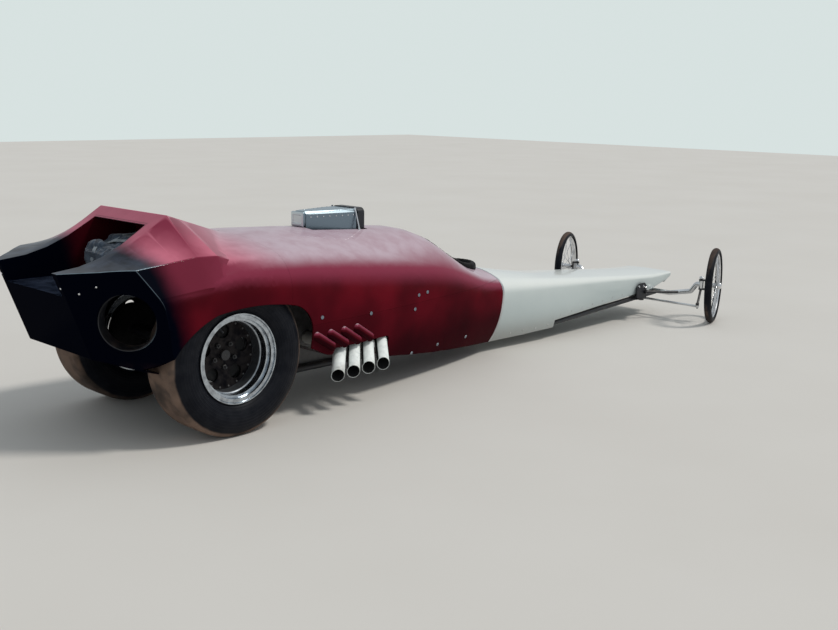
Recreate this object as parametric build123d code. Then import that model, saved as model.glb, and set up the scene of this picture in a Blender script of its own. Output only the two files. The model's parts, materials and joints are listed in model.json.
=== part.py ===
from build123d import *
import os
from math import cos, radians, sin, sqrt

# Streamlined mid-engined drag racing car, millimetres.
# X runs forward, Y to the driver's left, Z up.
# The model is laid out from the ground under the rear axle, and is moved at the end
# so that its origin lies on the ground under the middle of its box.

# Driving dimensions
WHEELBASE = 4320.0
FRONT_TRACK = 1350.0
BODY_HALF = 612.0            # greatest half width, beside the rear wheels
TYRE_INSET = 26.5            # from the body's side in to the rear tyre's side
STEER_REST = 21.0            # degrees that the front wheels are turned to the left at rest

REAR_TYRE_RADIUS = 392.0
REAR_TYRE_WIDTH = 262.0
REAR_TRACK = 2 * (BODY_HALF - TYRE_INSET) - REAR_TYRE_WIDTH
REAR_RIM_RADIUS = 225.0      # outer lip
REAR_BEAD_RADIUS = 196.0
REAR_DISH = 132.0            # from the outer lip in to the wheel's disc

FRONT_TYRE_RADIUS = 285.0
FRONT_TYRE_SECTION = 27.0    # radius of the round tyre section
FRONT_HUB_HALF = 42.0
FRONT_SPOKES = 20
SPOKE_RADIUS = 2.2

KINGPIN_INSET = 92.0         # from the wheel's middle plane to the kingpin
KINGPIN_RADIUS = 9.0
STEER_ARM = 120.0
RUN_FIT = 0.05               # radial clearance of a pin or spindle in its bore
SEAT_GAP = 0.3               # gap between pieces that only lie on each other

BODY_WALL = 8.0
SEAM_X = 2300.0              # joint between the red body and the white nose
TAIL_SEAM_X = 300.0          # joint between the tail and the middle body
BELT_Z = 500.0               # joint between the upper and the lower body panels

RAIL_RADIUS = 19.0
AXLE_TUBE_RADIUS = 19.0

# Body sections: half width, height where the side turns in, shoulder radius, crown height,
# and the half width and height of the flat belly
HULL_STATIONS = [
    # x, half, side_z, shoulder, top, belly_half, belly_z
    (0.0, BODY_HALF, 725.0, 165.0, 942.0, BODY_HALF - 32, 350.0),
    (450.0, BODY_HALF - 12, 670.0, 220.0, 942.0, BODY_HALF - 42, 345.0),
    (1000.0, BODY_HALF - 67, 600.0, 240.0, 918.0, BODY_HALF - 107, 235.0),
    (1500.0, 470.0, 540.0, 240.0, 884.0, 400.0, 160.0),
    (1720.0, 430.0, 500.0, 230.0, 826.0, 350.0, 135.0),
    (1900.0, 392.0, 465.0, 185.0, 716.0, 305.0, 115.0),
    (2080.0, 352.0, 435.0, 130.0, 606.0, 255.0, 95.0),
    (SEAM_X, 300.0, 410.0, 105.0, 556.0, 185.0, 70.0),
]
NOSE_STEP_X = 2950.0         # from here on the frame rails show below the cowl
NOSE_TIP_X = WHEELBASE + 180
NOSE_STATIONS = [
    HULL_STATIONS[-1],
    (NOSE_STEP_X, 265.0, 370.0, 66.0, 450.0, 225.0, 85.0),
    (WHEELBASE - 720, 242.0, 335.0, 44.0, 394.0, 212.0, 130.0),
    (WHEELBASE - 120, 225.0, 300.0, 30.0, 348.0, 205.0, 165.0),
    (NOSE_TIP_X, 205.0, 308.0, 12.0, 325.0, 195.0, 280.0),
]
SPAN_SECTIONS = 2            # sections worked out in each span between two stations


def eased(stations):
    """More rows between the stations, on a smooth curve through them."""
    slopes = []
    for number, row in enumerate(stations):
        before, after = stations[max(number - 1, 0)], stations[min(number + 1, len(stations) - 1)]
        slopes.append([(b - a) / (after[0] - before[0]) for a, b in zip(before, after)])
    rows = [stations[0]]
    for first, last, slope_in, slope_out in zip(stations, stations[1:], slopes, slopes[1:]):
        span = last[0] - first[0]
        for step in range(1, SPAN_SECTIONS + 1):
            t = step / SPAN_SECTIONS
            rows.append(tuple(
                a * (1 + 2 * t) * (1 - t)**2 + b * t * t * (3 - 2 * t)
                + span * t * (1 - t) * (m * (1 - t) - n * t)
                for a, b, m, n in zip(first, last, slope_in, slope_out)))
    return rows


# The tail stands on a rear end of the hull that is lower than the deck
REAR_ROW = (-900.0, BODY_HALF, 655.0, 165.0, 826.0, BODY_HALF - 32, 350.0)
HULL = [REAR_ROW] + eased(HULL_STATIONS)
NOSE = eased(NOSE_STATIONS)


def skin_half(x, z):
    """Half width of the hull's side at a station and height, below where the side turns in."""
    for first, last in zip(HULL, HULL[1:]):
        if first[0] <= x <= last[0]:
            t = (x - first[0]) / (last[0] - first[0])
            half, side_z, belly_half, belly_z = (
                first[i] + (last[i] - first[i]) * t for i in (1, 2, 5, 6))
            inward, down = half - belly_half, side_z - belly_z
            radius = (inward**2 + down**2) / (2 * inward)
            return half - radius + sqrt(radius**2 - (side_z - z)**2)
    raise ValueError(x)


def section(x, half, side_z, shoulder, top, belly_half, belly_z, inset=0.0):
    """One closed body section: flat belly, curved sides, round shoulders and a low crown."""
    half, shoulder, top = half - inset, shoulder - inset, top - inset
    belly_half, belly_z = belly_half - inset, belly_z + inset
    reach, rise = half - shoulder, top - side_z
    crown = (reach**2 + rise**2 - shoulder**2) / (2 * (rise - shoulder))
    turn = crown / (crown - shoulder)
    join = (reach * turn, top - crown + (side_z - top + crown) * turn)
    right = [
        TangentArc((half, side_z), (belly_half, belly_z), tangent=(0, -1)),
        TangentArc((half, side_z), join, tangent=(0, 1)),
    ]
    outline = Curve() + Line((-belly_half, belly_z), (belly_half, belly_z)) + right
    outline += ThreePointArc(join, (0, top), (-join[0], join[1]))
    outline += [mirror(edge, about=Plane.YZ) for edge in right]
    plane = Plane(origin=(x, 0, 0), x_dir=(0, 1, 0), z_dir=(1, 0, 0))
    return plane * make_face(outline)


def body_loft(stations, inset=0.0):
    return loft([section(*row, inset=inset) for row in stations], ruled=True)


def hull_between(start, end, inset):
    """The hull loft from just behind start to just ahead of end."""
    first = max(n for n, row in enumerate(HULL) if row[0] <= start)
    last = min(n for n, row in enumerate(HULL) if row[0] >= end)
    return body_loft(HULL[first:last + 1], inset)


def prism_y(points, half):
    """Closed outline in X and Z, carried to both sides of the middle plane."""
    face = Plane.XZ * make_face(Polyline(*points, close=True))
    return extrude(face, half, both=True)


def rod(start, end, radius):
    path = Line(start, end)
    return Cylinder(radius, path.length, align=(Align.CENTER, Align.CENTER, Align.MIN)).moved(
        Location(Plane(origin=start, z_dir=Vector(*end) - Vector(*start)))
    )


def bent_tube(points, bend, radius):
    path = FilletPolyline(*points, radius=bend)
    return sweep(Plane(origin=path @ 0, z_dir=path % 0) * Circle(radius), path)


def block(x_range, half, z_range):
    """A box across the middle plane, from its limits."""
    size = (x_range[1] - x_range[0], 2 * half, z_range[1] - z_range[0])
    middle = ((x_range[0] + x_range[1]) / 2, 0, (z_range[0] + z_range[1]) / 2)
    return Box(*size).moved(Location(middle))


def mirror_pair(shape):
    return [shape, mirror(shape, about=Plane.XZ)]


def both_sides(shape):
    return Part() + mirror_pair(shape)


# Raised tail: the ridges of the flat roof run back as the crests of two fins,
# and forward together until they sink into the deck
TAIL_TIP_X = -800.0
TIP_HALF = 300.0             # half width of the flat rear face
ROOF_X = -220.0              # highest point of the ridges
ROOF_TOP = 1085.0
RAISED_HALF = BODY_HALF - 10          # just inside the body's own side
SHELF_HALF = BODY_HALF - 64
SHELF_DROP = 140.0
TAIL_FOOT_Z = 420.0
TAIL_STATIONS = [
    # x, ridge_half, ridge_z, shelf_half, shelf_z
    (TAIL_TIP_X - 150, 300.0, 846.0, SHELF_HALF, 842.0),
    (TAIL_TIP_X, 300.0, 858.0, SHELF_HALF, 856.0),
    (-660.0, 300.0, 874.0, SHELF_HALF, 868.0),
    (-550.0, 300.0, 904.0, SHELF_HALF, 880.0),
    (-440.0, 300.0, 952.0, SHELF_HALF, 890.0),
    (-330.0, 300.0, 1016.0, SHELF_HALF, 901.0),
    (ROOF_X, 300.0, ROOF_TOP, SHELF_HALF, 911.0),
    (-100.0, 234.0, 1050.0, SHELF_HALF - 8, 905.0),
    (330.0, 10.0, 925.0, 400.0, 760.0),
]
TAIL_RAKE = 0.375            # how far the rear leans forward per unit of drop
CORNER_X = -476.0            # rear end of the side, at shelf height
CORNER_RAKE = 0.22
RAKE_Z = 870.0               # height at which the two positions above are given
TAIL_BOTTOM = [
    # x, z
    (TAIL_TIP_X - 150, 545.0),
    (-330.0, 345.0),
]
CORNER_CUT = [
    # y, z: the rear corners are cut away below this line
    (475.0, 403.0),
    (BODY_HALF + 90, 503.0),
]


def tail_section(x, ridge_half, ridge_z, shelf_half, shelf_z, inset=0.0):
    right = [
        (RAISED_HALF - inset, TAIL_FOOT_Z),
        (RAISED_HALF - inset, shelf_z - SHELF_DROP),
        (shelf_half - inset, shelf_z - inset),
        (ridge_half - inset * 0.7, ridge_z - inset),
    ]
    left = [(-y, z) for y, z in reversed(right)]
    plane = Plane(origin=(x, 0, 0), x_dir=(0, 1, 0), z_dir=(1, 0, 0))
    return plane * make_face(Polyline(*right, *left, close=True))


def tail_envelope(inset=0.0):
    """What the tail stays within: rising bottom, raked rear, swept and cut corners."""
    (rear_x, rear_z), (front_x, front_z) = TAIL_BOTTOM
    envelope = prism_y([(rear_x, 1300), (rear_x, rear_z + inset), (front_x, front_z + inset),
                        (front_x, 0), (SEAM_X + 700, 0), (SEAM_X + 700, 1300)], BODY_HALF + 88)
    plans = []
    wide = BODY_HALF + 88
    for z in (-50.0, 1350.0):
        drop = RAKE_Z - z
        rear = TAIL_TIP_X + TAIL_RAKE * drop + inset
        corner = CORNER_X + CORNER_RAKE * drop + inset * 1.4
        swept = (corner - rear) / (BODY_HALF - TIP_HALF)
        far = corner + swept * (wide - BODY_HALF)
        front = SEAM_X + 800
        outline = Polyline((rear, TIP_HALF), (far, wide), (front, wide), (front, -wide), (far, -wide),
                           (rear, -TIP_HALF), close=True)
        plans.append(Plane(origin=(0, 0, z)) * make_face(outline))
    envelope &= loft(plans, ruled=True)
    (in_y, in_z), (out_y, out_z) = CORNER_CUT
    for side in (1, -1):
        rear_view = Plane(origin=(rear_x, 0, 0), x_dir=(0, 1, 0), z_dir=(1, 0, 0))
        under = Polyline((side * in_y, 0), (side * in_y, in_z + inset), (side * out_y, out_z + inset),
                         (side * out_y, 0), close=True)
        envelope -= extrude(rear_view * make_face(under), front_x - rear_x)
    return envelope


def body_form(inset=0.0):
    raised = loft([tail_section(*row, inset=inset) for row in TAIL_STATIONS], ruled=True)
    return (body_loft(HULL, inset) + raised) & tail_envelope(inset)


# Pocket between the fins, which holds the braking parachute
POCKET_FLOOR_Z = 752.0
POCKET_FLOOR_HALF = 272.0
POCKET_TOP_HALF = 234.0
POCKET_STATIONS = [
    # x, height of the top
    (TAIL_TIP_X - 150, 1038.0),
    (-240.0, 1038.0),
    (-60.0, 1000.0),
]
POCKET_WALL = 5.0


def pocket_form(outset=0.0):
    """Tapered channel, open to the rear; outset also carries its front end forward."""
    sections = []
    for x, top_z in POCKET_STATIONS:
        if x == POCKET_STATIONS[-1][0]:
            x += outset
        outline = Polyline(
            (-POCKET_FLOOR_HALF - outset, POCKET_FLOOR_Z - outset),
            (POCKET_FLOOR_HALF + outset, POCKET_FLOOR_Z - outset),
            (POCKET_TOP_HALF + outset, top_z + outset),
            (-POCKET_TOP_HALF - outset, top_z + outset),
            close=True,
        )
        plane = Plane(origin=(x, 0, 0), x_dir=(0, 1, 0), z_dir=(1, 0, 0))
        sections.append(plane * make_face(outline))
    return loft(sections, ruled=True)


# Wheel arch in the side, from the rear foot over the tyre to the front foot
ARCH_INNER_Y = REAR_TRACK / 2 - REAR_TYRE_WIDTH / 2 - 23.5
ARCH_REAR_X = -405.0
ARCH_FRONT_X = 446.0


def arch_form():
    outline = Curve() + Polyline((ARCH_FRONT_X - 1, 200), (ARCH_REAR_X, 200), (ARCH_REAR_X + 13, 455))
    outline += ThreePointArc((ARCH_REAR_X + 13, 455), (-290, 560), (-150, 634))
    outline += ThreePointArc((-150, 634), (80, 652), (300, 628))
    outline += ThreePointArc((300, 628), (405, 572), (ARCH_FRONT_X + 2, 450))
    outline += Line((ARCH_FRONT_X + 2, 450), (ARCH_FRONT_X - 1, 200))
    plane = Plane(origin=(0, -ARCH_INNER_Y, 0), x_dir=(1, 0, 0), z_dir=(0, -1, 0))
    return extrude(plane * make_face(outline), BODY_HALF)


# Round openings in the swept rear corners, with a short duct in each
TAIL_HOLE_RADIUS = 135.0
TAIL_HOLE = (-548.0, 468.0, 632.0)
DUCT_LENGTH = 110.0
DUCT_WALL = 4.0


def tail_hole(radius, start, length, side):
    """A cylinder square to the swept rear corner, measured inwards from its face."""
    run = (CORNER_X - TAIL_TIP_X, BODY_HALF - TIP_HALF)
    inward = Vector(run[1], -side * run[0], 0).normalized()
    centre = Vector(TAIL_HOLE[0], side * TAIL_HOLE[1], TAIL_HOLE[2])
    place = Plane(origin=centre + inward * start, z_dir=inward)
    return Location(place) * Cylinder(radius, length, align=(Align.CENTER, Align.CENTER, Align.MIN))


# Engine, and the injector box above it, which widens forwards to its mouth
ENGINE_X = (470.0, 1130.0)
ENGINE_HALF = 190.0
ENGINE_Z = (165.0, 720.0)
PLATE_THICKNESS = 8.0
PLATE_HALF = 232.0
PLATE_TOP = 560.0
BOX_X = (850.0, 1190.0)
BOX_REAR_HALF = 52.0
BOX_HALF = 104.0
BOX_Z = (880.0, 1012.0)
BOX_EDGE = 14.0
MOUTH_X = (BOX_X[1] + SEAT_GAP, 1246.0)
MOUTH_LIP = 8.0              # how far the mouth stands out round the box
HATCH_GAP = 12.0

# Exhaust pipes, and the half-round ribs pressed into the panel above them
PIPES = 4
PIPE_RADIUS = 35.0
PIPE_WALL = 2.0
PORT_FIRST_X = 735.0
PORT_PITCH = 100.0
PORT_Z = 335.0
PIPE_KNEE_Y = 470.0
PIPE_BEND = 50.0
MOUTH_FIRST = (584.0, BODY_HALF + 12, 221.0)
MOUTH_PITCH = (120.0, -11.0)         # from mouth to mouth forwards and outwards
MOUTH_CUT = (-0.58, 0.785, -0.205)   # direction that the cut end of a pipe on the left faces
NOTCH = [
    # x, z along the panel's edge over the pipes
    (430.0, 385.0), (600.0, 308.0), (626.0, 350.0), (1048.0, 350.0), (1060.0, 330.0),
]
RIB_RADIUS = 27.0
RIB_SUNK = 12.0              # depth of a rib's middle line behind the skin
RIB_FIRST_X = 474.0
RIB_LENGTH = 124.0
RIB_Z = (440.0, 367.0)

# Belly opening under the engine
TRAY_HALF = 240.0
TRAY_X = (TAIL_SEAM_X + 30, 1680.0)

# Cockpit opening: an egg between two circles
COCKPIT_REAR = (1872.0, 86.0)        # x of the centre, radius
COCKPIT_FRONT = (2108.0, 142.0)
COAMING_WIDTH = 22.0
COAMING_RISE = 14.0

parts = {}


def cockpit_face(outset=0.0):
    ends = [Plane(origin=(x, 0, 0)) * Circle(radius + outset).edge() for x, radius in (COCKPIT_REAR, COCKPIT_FRONT)]
    return make_hull(ends)


def build_body():
    outer = body_form()
    cuts = [
        body_form(BODY_WALL),
        *(mirror_pair(arch_form())),
        pocket_form(POCKET_WALL),
        *(tail_hole(TAIL_HOLE_RADIUS, -60, 120, side) for side in (1, -1)),
        # Notch in the lower edge of each side, where the exhaust pipes come out
        prism_y([(NOTCH[0][0], 0), *NOTCH, (NOTCH[-1][0], 0)], BODY_HALF + 88),
        block((BOX_X[0] - HATCH_GAP, MOUTH_X[1] + HATCH_GAP), BOX_HALF + MOUTH_LIP + HATCH_GAP,
              (ENGINE_Z[1] + 30, BOX_Z[1] + 100)),
        extrude(Plane(origin=(0, 0, BELT_Z)) * cockpit_face(), 600),
        # Belly opening under the engine, and room for the rear axle between the wheels
        block(TRAY_X, TRAY_HALF, (50, 400)),
        block((-200, ARCH_FRONT_X), ARCH_INNER_Y + 10, (200, 480)),
    ]
    shell = outer - cuts

    big = 4000.0
    tail = shell & Box(big, big, big).moved(Location((TAIL_SEAM_X - big / 2, 0, 0)))
    middle = shell & Box(big, big, big).moved(Location((TAIL_SEAM_X + big / 2, 0, 0)))
    parts["tail_shell"] = tail
    parts["body_upper"] = middle & Box(big, big, big).moved(Location((big / 2, 0, BELT_Z + big / 2)))
    lower = middle & Box(big, big, big).moved(Location((big / 2, 0, BELT_Z - big / 2)))
    parts["body_lower"] = lower + pipe_ribs()
    parts["parachute_pocket"] = (pocket_form(POCKET_WALL) - pocket_form()) & outer


def pipe_ribs():
    """Half-round ribs that run down the panel's outside to each pipe."""
    pieces = []
    for number in range(PIPES):
        x = RIB_FIRST_X + number * PORT_PITCH
        high = (x, skin_half(x, RIB_Z[0]) - RIB_SUNK, RIB_Z[0])
        x += RIB_LENGTH
        low = (x, skin_half(x, RIB_Z[1]) - RIB_SUNK, RIB_Z[1])
        pieces.append(rod(high, low, RIB_RADIUS))
        pieces += [Sphere(RIB_RADIUS).moved(Location(end)) for end in (high, low)]
    ribs = Part() + pieces
    return both_sides(ribs - hull_between(RIB_FIRST_X - RIB_RADIUS, NOTCH[-1][0], BODY_WALL / 2))


def build_tail_pieces():
    ducts = Part()
    for side in (1, -1):
        ducts += tail_hole(TAIL_HOLE_RADIUS - 1, 4, DUCT_LENGTH, side) - tail_hole(
            TAIL_HOLE_RADIUS - 1 - DUCT_WALL, 0, DUCT_LENGTH + 20, side)
    parts["tail_ducts"] = ducts
    pack = Box(250, 380, 200, align=(Align.CENTER, Align.CENTER, Align.MIN))
    pack = fillet(pack.edges(), 45)
    parts["parachute_pack"] = pack.moved(Location((-186, 0, POCKET_FLOOR_Z + SEAT_GAP)))


NOSE_WALL = 4.0
NOSE_END_WALL = 20.0


def build_nose():
    outer = body_loft(NOSE)
    tip = (NOSE_TIP_X - NOSE_END_WALL, *NOSE[-1][1:])
    shell = outer - body_loft(NOSE[:-1] + [tip], NOSE_WALL)
    # Open underside, with a step where the frame rails come out below the cowl
    shell -= prism_y([(NOSE_STEP_X, 0), (NOSE_STEP_X, 137), (WHEELBASE - 120, 214),
                      (WHEELBASE + 100, 262), (WHEELBASE + 100, 0)], BODY_HALF)
    parts["nose_cowl"] = shell


# Frame rails follow the belly from the rear axle to the front axle
RAIL_ROUTE = [
    # x, half width, height
    (-180.0, 215.0, 290.0),
    (420.0, 215.0, 168.0),
    (1750.0, 215.0, 166.8),
    (SEAM_X, 150.0, 104.0),
    (NOSE_STEP_X, 205.0, 110.0),
    (WHEELBASE - AXLE_TUBE_RADIUS - SEAT_GAP, 190.0, 180.0),
]
RAIL_BEND = 250.0
STEERING_BOX_X = 2745.0
HOOP_X = 1560.0
HOOP_TOP = 800.0
HOOP_HALF = 215.0
HOOP_RADIUS = 16.0
TOW_TUBE_X = -150.0
BRACKET_X = (WHEELBASE - 362, WHEELBASE - 232)
CROSS_TUBES_X = [TOW_TUBE_X, 420.0, 1250.0, HOOP_X, SEAM_X, STEERING_BOX_X, 3100.0,
                 WHEELBASE - 760, BRACKET_X[1] + 12]
CROSS_TUBE_RADIUS = 14.0

# Tow eye at the rear, and the tie-down eyes of the front brackets
EYE_PLATE = 8.0
TOW_EYE_RADIUS = 10.0
TIE_EYE_RADIUS = 7.0


def rail_point(x):
    """Half width and height of the rail at a station."""
    for (x0, y0, z0), (x1, y1, z1) in zip(RAIL_ROUTE, RAIL_ROUTE[1:]):
        if x0 <= x <= x1:
            part_way = (x - x0) / (x1 - x0)
            return y0 + (y1 - y0) * part_way, z0 + (z1 - z0) * part_way
    raise ValueError(x)


def frame_form(outset=0.0):
    rail = bent_tube(RAIL_ROUTE, RAIL_BEND, RAIL_RADIUS + outset)
    tubes = mirror_pair(rail)
    for x in CROSS_TUBES_X:
        half, z = rail_point(x)
        tubes.append(rod((x, -half, z), (x, half, z), CROSS_TUBE_RADIUS + outset))
    return Part() + tubes


FRAME_ROOM = frame_form(SEAT_GAP)    # what other pieces leave free for the frame


def eye_plate(x, y, z, x_reach, radius):
    """Level plate with a round end and a hole at x, y that reaches back or forward to x_reach."""
    plate = Cylinder(radius + 13, EYE_PLATE) + Box(
        abs(x_reach), 2 * (radius + 13), EYE_PLATE).moved(Location((x_reach / 2, 0, 0)))
    plate -= Cylinder(radius, 3 * EYE_PLATE)
    return plate.moved(Location((x, y, z)))


def build_frame():
    tow_z = rail_point(TOW_TUBE_X)[1]
    parts["frame_rails"] = frame_form() + eye_plate(TOW_TUBE_X - 62, 0, tow_z, 62, TOW_EYE_RADIUS)

    foot = rail_point(HOOP_X)[1] + RAIL_RADIUS + SEAT_GAP
    hoop = bent_tube([(HOOP_X, -HOOP_HALF, foot), (HOOP_X, -HOOP_HALF, HOOP_TOP - 60), (HOOP_X, -90, HOOP_TOP),
                      (HOOP_X, 90, HOOP_TOP), (HOOP_X, HOOP_HALF, HOOP_TOP - 60), (HOOP_X, HOOP_HALF, foot)],
                     50, HOOP_RADIUS)
    for side in (1, -1):
        hoop += rod((HOOP_X, side * HOOP_HALF, 470), (2240, side * 170, 330), 14)
        hoop += rod((HOOP_X, side * HOOP_HALF, 700), (1250, side * HOOP_HALF, foot), 14)
    parts["roll_cage"] = hoop - FRAME_ROOM


BRACKET_HALF = 242.0         # inner face of the upright plate, outside the cowl
BRACKET_TOP = 284.0
RADIUS_ROD = 9.0
ROD_AXLE_Y = 402.0


def build_front_brackets():
    """Plates on the rails that carry the axle's radius rods and a tie-down eye."""
    brackets = Part()
    axle_room = axle_tube(AXLE_TUBE_RADIUS + SEAT_GAP)
    x = (BRACKET_X[0] + BRACKET_X[1]) / 2
    length = BRACKET_X[1] - BRACKET_X[0]
    rail_half, rail_z = rail_point(x)
    for side in (1, -1):
        shelf = Box(length, BRACKET_HALF + EYE_PLATE - rail_half, EYE_PLATE).moved(
            Location((x, side * (BRACKET_HALF + EYE_PLATE + rail_half) / 2, rail_z)))
        upright = Box(length, EYE_PLATE, BRACKET_TOP - rail_z + EYE_PLATE / 2).moved(
            Location((x, side * (BRACKET_HALF + EYE_PLATE / 2), (BRACKET_TOP + rail_z - EYE_PLATE / 2) / 2)))
        upright = chamfer(upright.edges().filter_by(Axis.Y).sort_by(Axis.Z)[-2:], 26)
        eye_y = BRACKET_HALF + EYE_PLATE + TIE_EYE_RADIUS + 12
        eye = Cylinder(TIE_EYE_RADIUS + 13, EYE_PLATE).moved(Location((BRACKET_X[0] + 30, side * eye_y, rail_z)))
        hole = Cylinder(TIE_EYE_RADIUS, 3 * EYE_PLATE).moved(Location((BRACKET_X[0] + 30, side * eye_y, rail_z)))
        anchor = (BRACKET_X[1] - 24, side * (BRACKET_HALF + EYE_PLATE + RADIUS_ROD), rail_z + 48)
        link = rod(anchor, (WHEELBASE, side * ROD_AXLE_Y, axle_height(ROD_AXLE_Y)), RADIUS_ROD)
        link += Cylinder(15, 2 * RADIUS_ROD, rotation=(90, 0, 0)).moved(Location(anchor))
        brackets += (shelf + [upright, eye]) - hole + (link - axle_room)
    parts["front_brackets"] = brackets - FRAME_ROOM


SEAT_Z = 205.0
SEAT_HALF = 175.0
SEAT_TRAY_X = (1690.0, 2020.0)
WHEEL_CENTRE = (2120.0, 0.0, 430.0)
COLUMN_RADIUS = 10.0


def build_cockpit():
    ring = Plane(origin=(0, 0, BELT_Z)) * (cockpit_face(COAMING_WIDTH) - cockpit_face())
    reach = (COCKPIT_REAR[0] - COCKPIT_REAR[1] - COAMING_WIDTH, COCKPIT_FRONT[0] + COCKPIT_FRONT[1] + COAMING_WIDTH)
    band = extrude(ring, 500) & hull_between(*reach, -COAMING_RISE)
    parts["cockpit_coaming"] = band - hull_between(*reach, -SEAT_GAP)

    seat_line = [(1640, 640), (1700, SEAT_Z + 25), (2010, SEAT_Z), (2010, SEAT_Z + 6), (1705, SEAT_Z + 31),
                 (1646, 640)]
    seat = prism_y(seat_line, SEAT_HALF)
    wing = [(1640, 640), (1700, SEAT_Z + 25), (2010, SEAT_Z), (2010, 300), (1830, 330), (1720, 560)]
    wings = prism_y(wing, SEAT_HALF + 5) - prism_y(wing, SEAT_HALF)
    parts["seat"] = seat + wings
    tray_z = (rail_point(SEAT_TRAY_X[0])[1] + RAIL_RADIUS + SEAT_GAP, SEAT_Z - SEAT_GAP)
    tray = block(SEAT_TRAY_X, 236, tray_z)
    parts["seat_base"] = tray - block((SEAT_TRAY_X[0] - 90, SEAT_TRAY_X[1] + 80), 220, (150, SEAT_Z - 3))

    hub = Vector(WHEEL_CENTRE)
    ahead = Vector(1, 0, -0.25).normalized()
    plane = Plane(origin=hub, z_dir=ahead)
    wheel = Location(plane) * (Torus(115, 9) + Cylinder(24, 10))
    for turn in (90, 210, 330):
        arm = Vector(cos(radians(turn)), sin(radians(turn)), 0)
        tip = plane.from_local_coords(arm * 112)
        wheel += rod(tuple(hub), tuple(tip), 6)
    column = (STEERING_BOX_X - 5 - hub.X) / ahead.X
    wheel += rod(tuple(hub), tuple(hub + ahead * column), COLUMN_RADIUS)
    foot = rail_point(STEERING_BOX_X)[1] + CROSS_TUBE_RADIUS + SEAT_GAP
    box = block((STEERING_BOX_X - 45, STEERING_BOX_X + 45), 45, (225, 320))
    box += block((STEERING_BOX_X - 18, STEERING_BOX_X + 18), 18, (foot, 226))
    parts["steering_wheel"] = wheel
    parts["steering_box"] = box - Location(plane) * Cylinder(COLUMN_RADIUS + RUN_FIT, 3 * column)


def build_engine():
    parts["engine_block"] = block(ENGINE_X, ENGINE_HALF, ENGINE_Z)
    plates = Part()
    for x in (ENGINE_X[0] - PLATE_THICKNESS - SEAT_GAP, ENGINE_X[1] + SEAT_GAP):
        foot = rail_point(x)[1] + RAIL_RADIUS + SEAT_GAP
        plates += block((x, x + PLATE_THICKNESS), PLATE_HALF, (foot, PLATE_TOP))
    parts["motor_plates"] = plates
    length = BOX_X[1] - BOX_X[0]
    plan = Polyline((BOX_X[0], BOX_REAR_HALF), (BOX_X[0] + length * 0.75, BOX_HALF), (BOX_X[1], BOX_HALF),
                    (BOX_X[1], -BOX_HALF), (BOX_X[0] + length * 0.75, -BOX_HALF), (BOX_X[0], -BOX_REAR_HALF),
                    close=True)
    box = extrude(Plane(origin=(0, 0, BOX_Z[0])) * make_face(plan), BOX_Z[1] - BOX_Z[0])
    box = chamfer(box.faces().sort_by(Axis.Z)[-1].edges().filter_by(lambda e: abs((e % 0).X) > 0.5), BOX_EDGE)
    neck = block((BOX_X[0] + 40, BOX_X[1] - 60), BOX_REAR_HALF - 4, (ENGINE_Z[1] + SEAT_GAP, BOX_Z[0]))
    parts["injector_box"] = box + neck
    scoop = block(MOUTH_X, BOX_HALF + MOUTH_LIP, (BOX_Z[0] - 4, BOX_Z[1] + MOUTH_LIP))
    scoop = fillet(scoop.edges().filter_by(Axis.X), 30)
    scoop = fillet(scoop.faces().sort_by(Axis.X)[-1].edges(), 9)
    hollow = block((BOX_X[1], MOUTH_X[1] + 50), BOX_HALF - 12, (BOX_Z[0] + 16, BOX_Z[1] - 14))
    parts["scoop_mouth"] = scoop - fillet(hollow.edges().filter_by(Axis.X), 18)


def build_exhausts():
    for side, name in ((1, "left"), (-1, "right")):
        pipes = Part()
        for number in range(PIPES):
            x = PORT_FIRST_X + number * PORT_PITCH
            root = Vector(x, side * (ENGINE_HALF + SEAT_GAP), PORT_Z)
            knee = Vector(x, side * PIPE_KNEE_Y, PORT_Z)
            mouth = Vector(MOUTH_FIRST[0] + number * MOUTH_PITCH[0],
                           side * (MOUTH_FIRST[1] + number * MOUTH_PITCH[1]), MOUTH_FIRST[2])
            past = mouth + (mouth - knee).normalized() * PIPE_RADIUS
            route = [tuple(root), tuple(knee), tuple(past)]
            pipe = bent_tube(route, PIPE_BEND, PIPE_RADIUS) - bent_tube(route, PIPE_BEND, PIPE_RADIUS - PIPE_WALL)
            facing = Vector(MOUTH_CUT[0], side * MOUTH_CUT[1], MOUTH_CUT[2])
            beyond = Location(Plane(origin=mouth, z_dir=facing)) * Box(
                300, 300, 200, align=(Align.CENTER, Align.CENTER, Align.MIN))
            pipes += pipe - beyond
        parts["exhaust_" + name] = pipes


def build_rear_axle():
    axle = rod((0, -ARCH_INNER_Y + 5, REAR_TYRE_RADIUS), (0, ARCH_INNER_Y - 5, REAR_TYRE_RADIUS), 38)
    axle += Sphere(125).moved(Location((0, 0, REAR_TYRE_RADIUS)))
    axle += rod((0, 0, REAR_TYRE_RADIUS), (220, 0, REAR_TYRE_RADIUS), 55)
    axle += rod((0, -WHEEL_FACE_Y - 20, REAR_TYRE_RADIUS), (0, WHEEL_FACE_Y + 20, REAR_TYRE_RADIUS), AXLE_STUB_RADIUS)
    low = rail_point(0)[1]
    for side in (1, -1):
        axle += Box(60, 14, REAR_TYRE_RADIUS - low).moved(
            Location((0, side * RAIL_ROUTE[0][1], (REAR_TYRE_RADIUS + low) / 2)))
    axle -= FRAME_ROOM
    parts["rear_axle"] = axle


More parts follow.
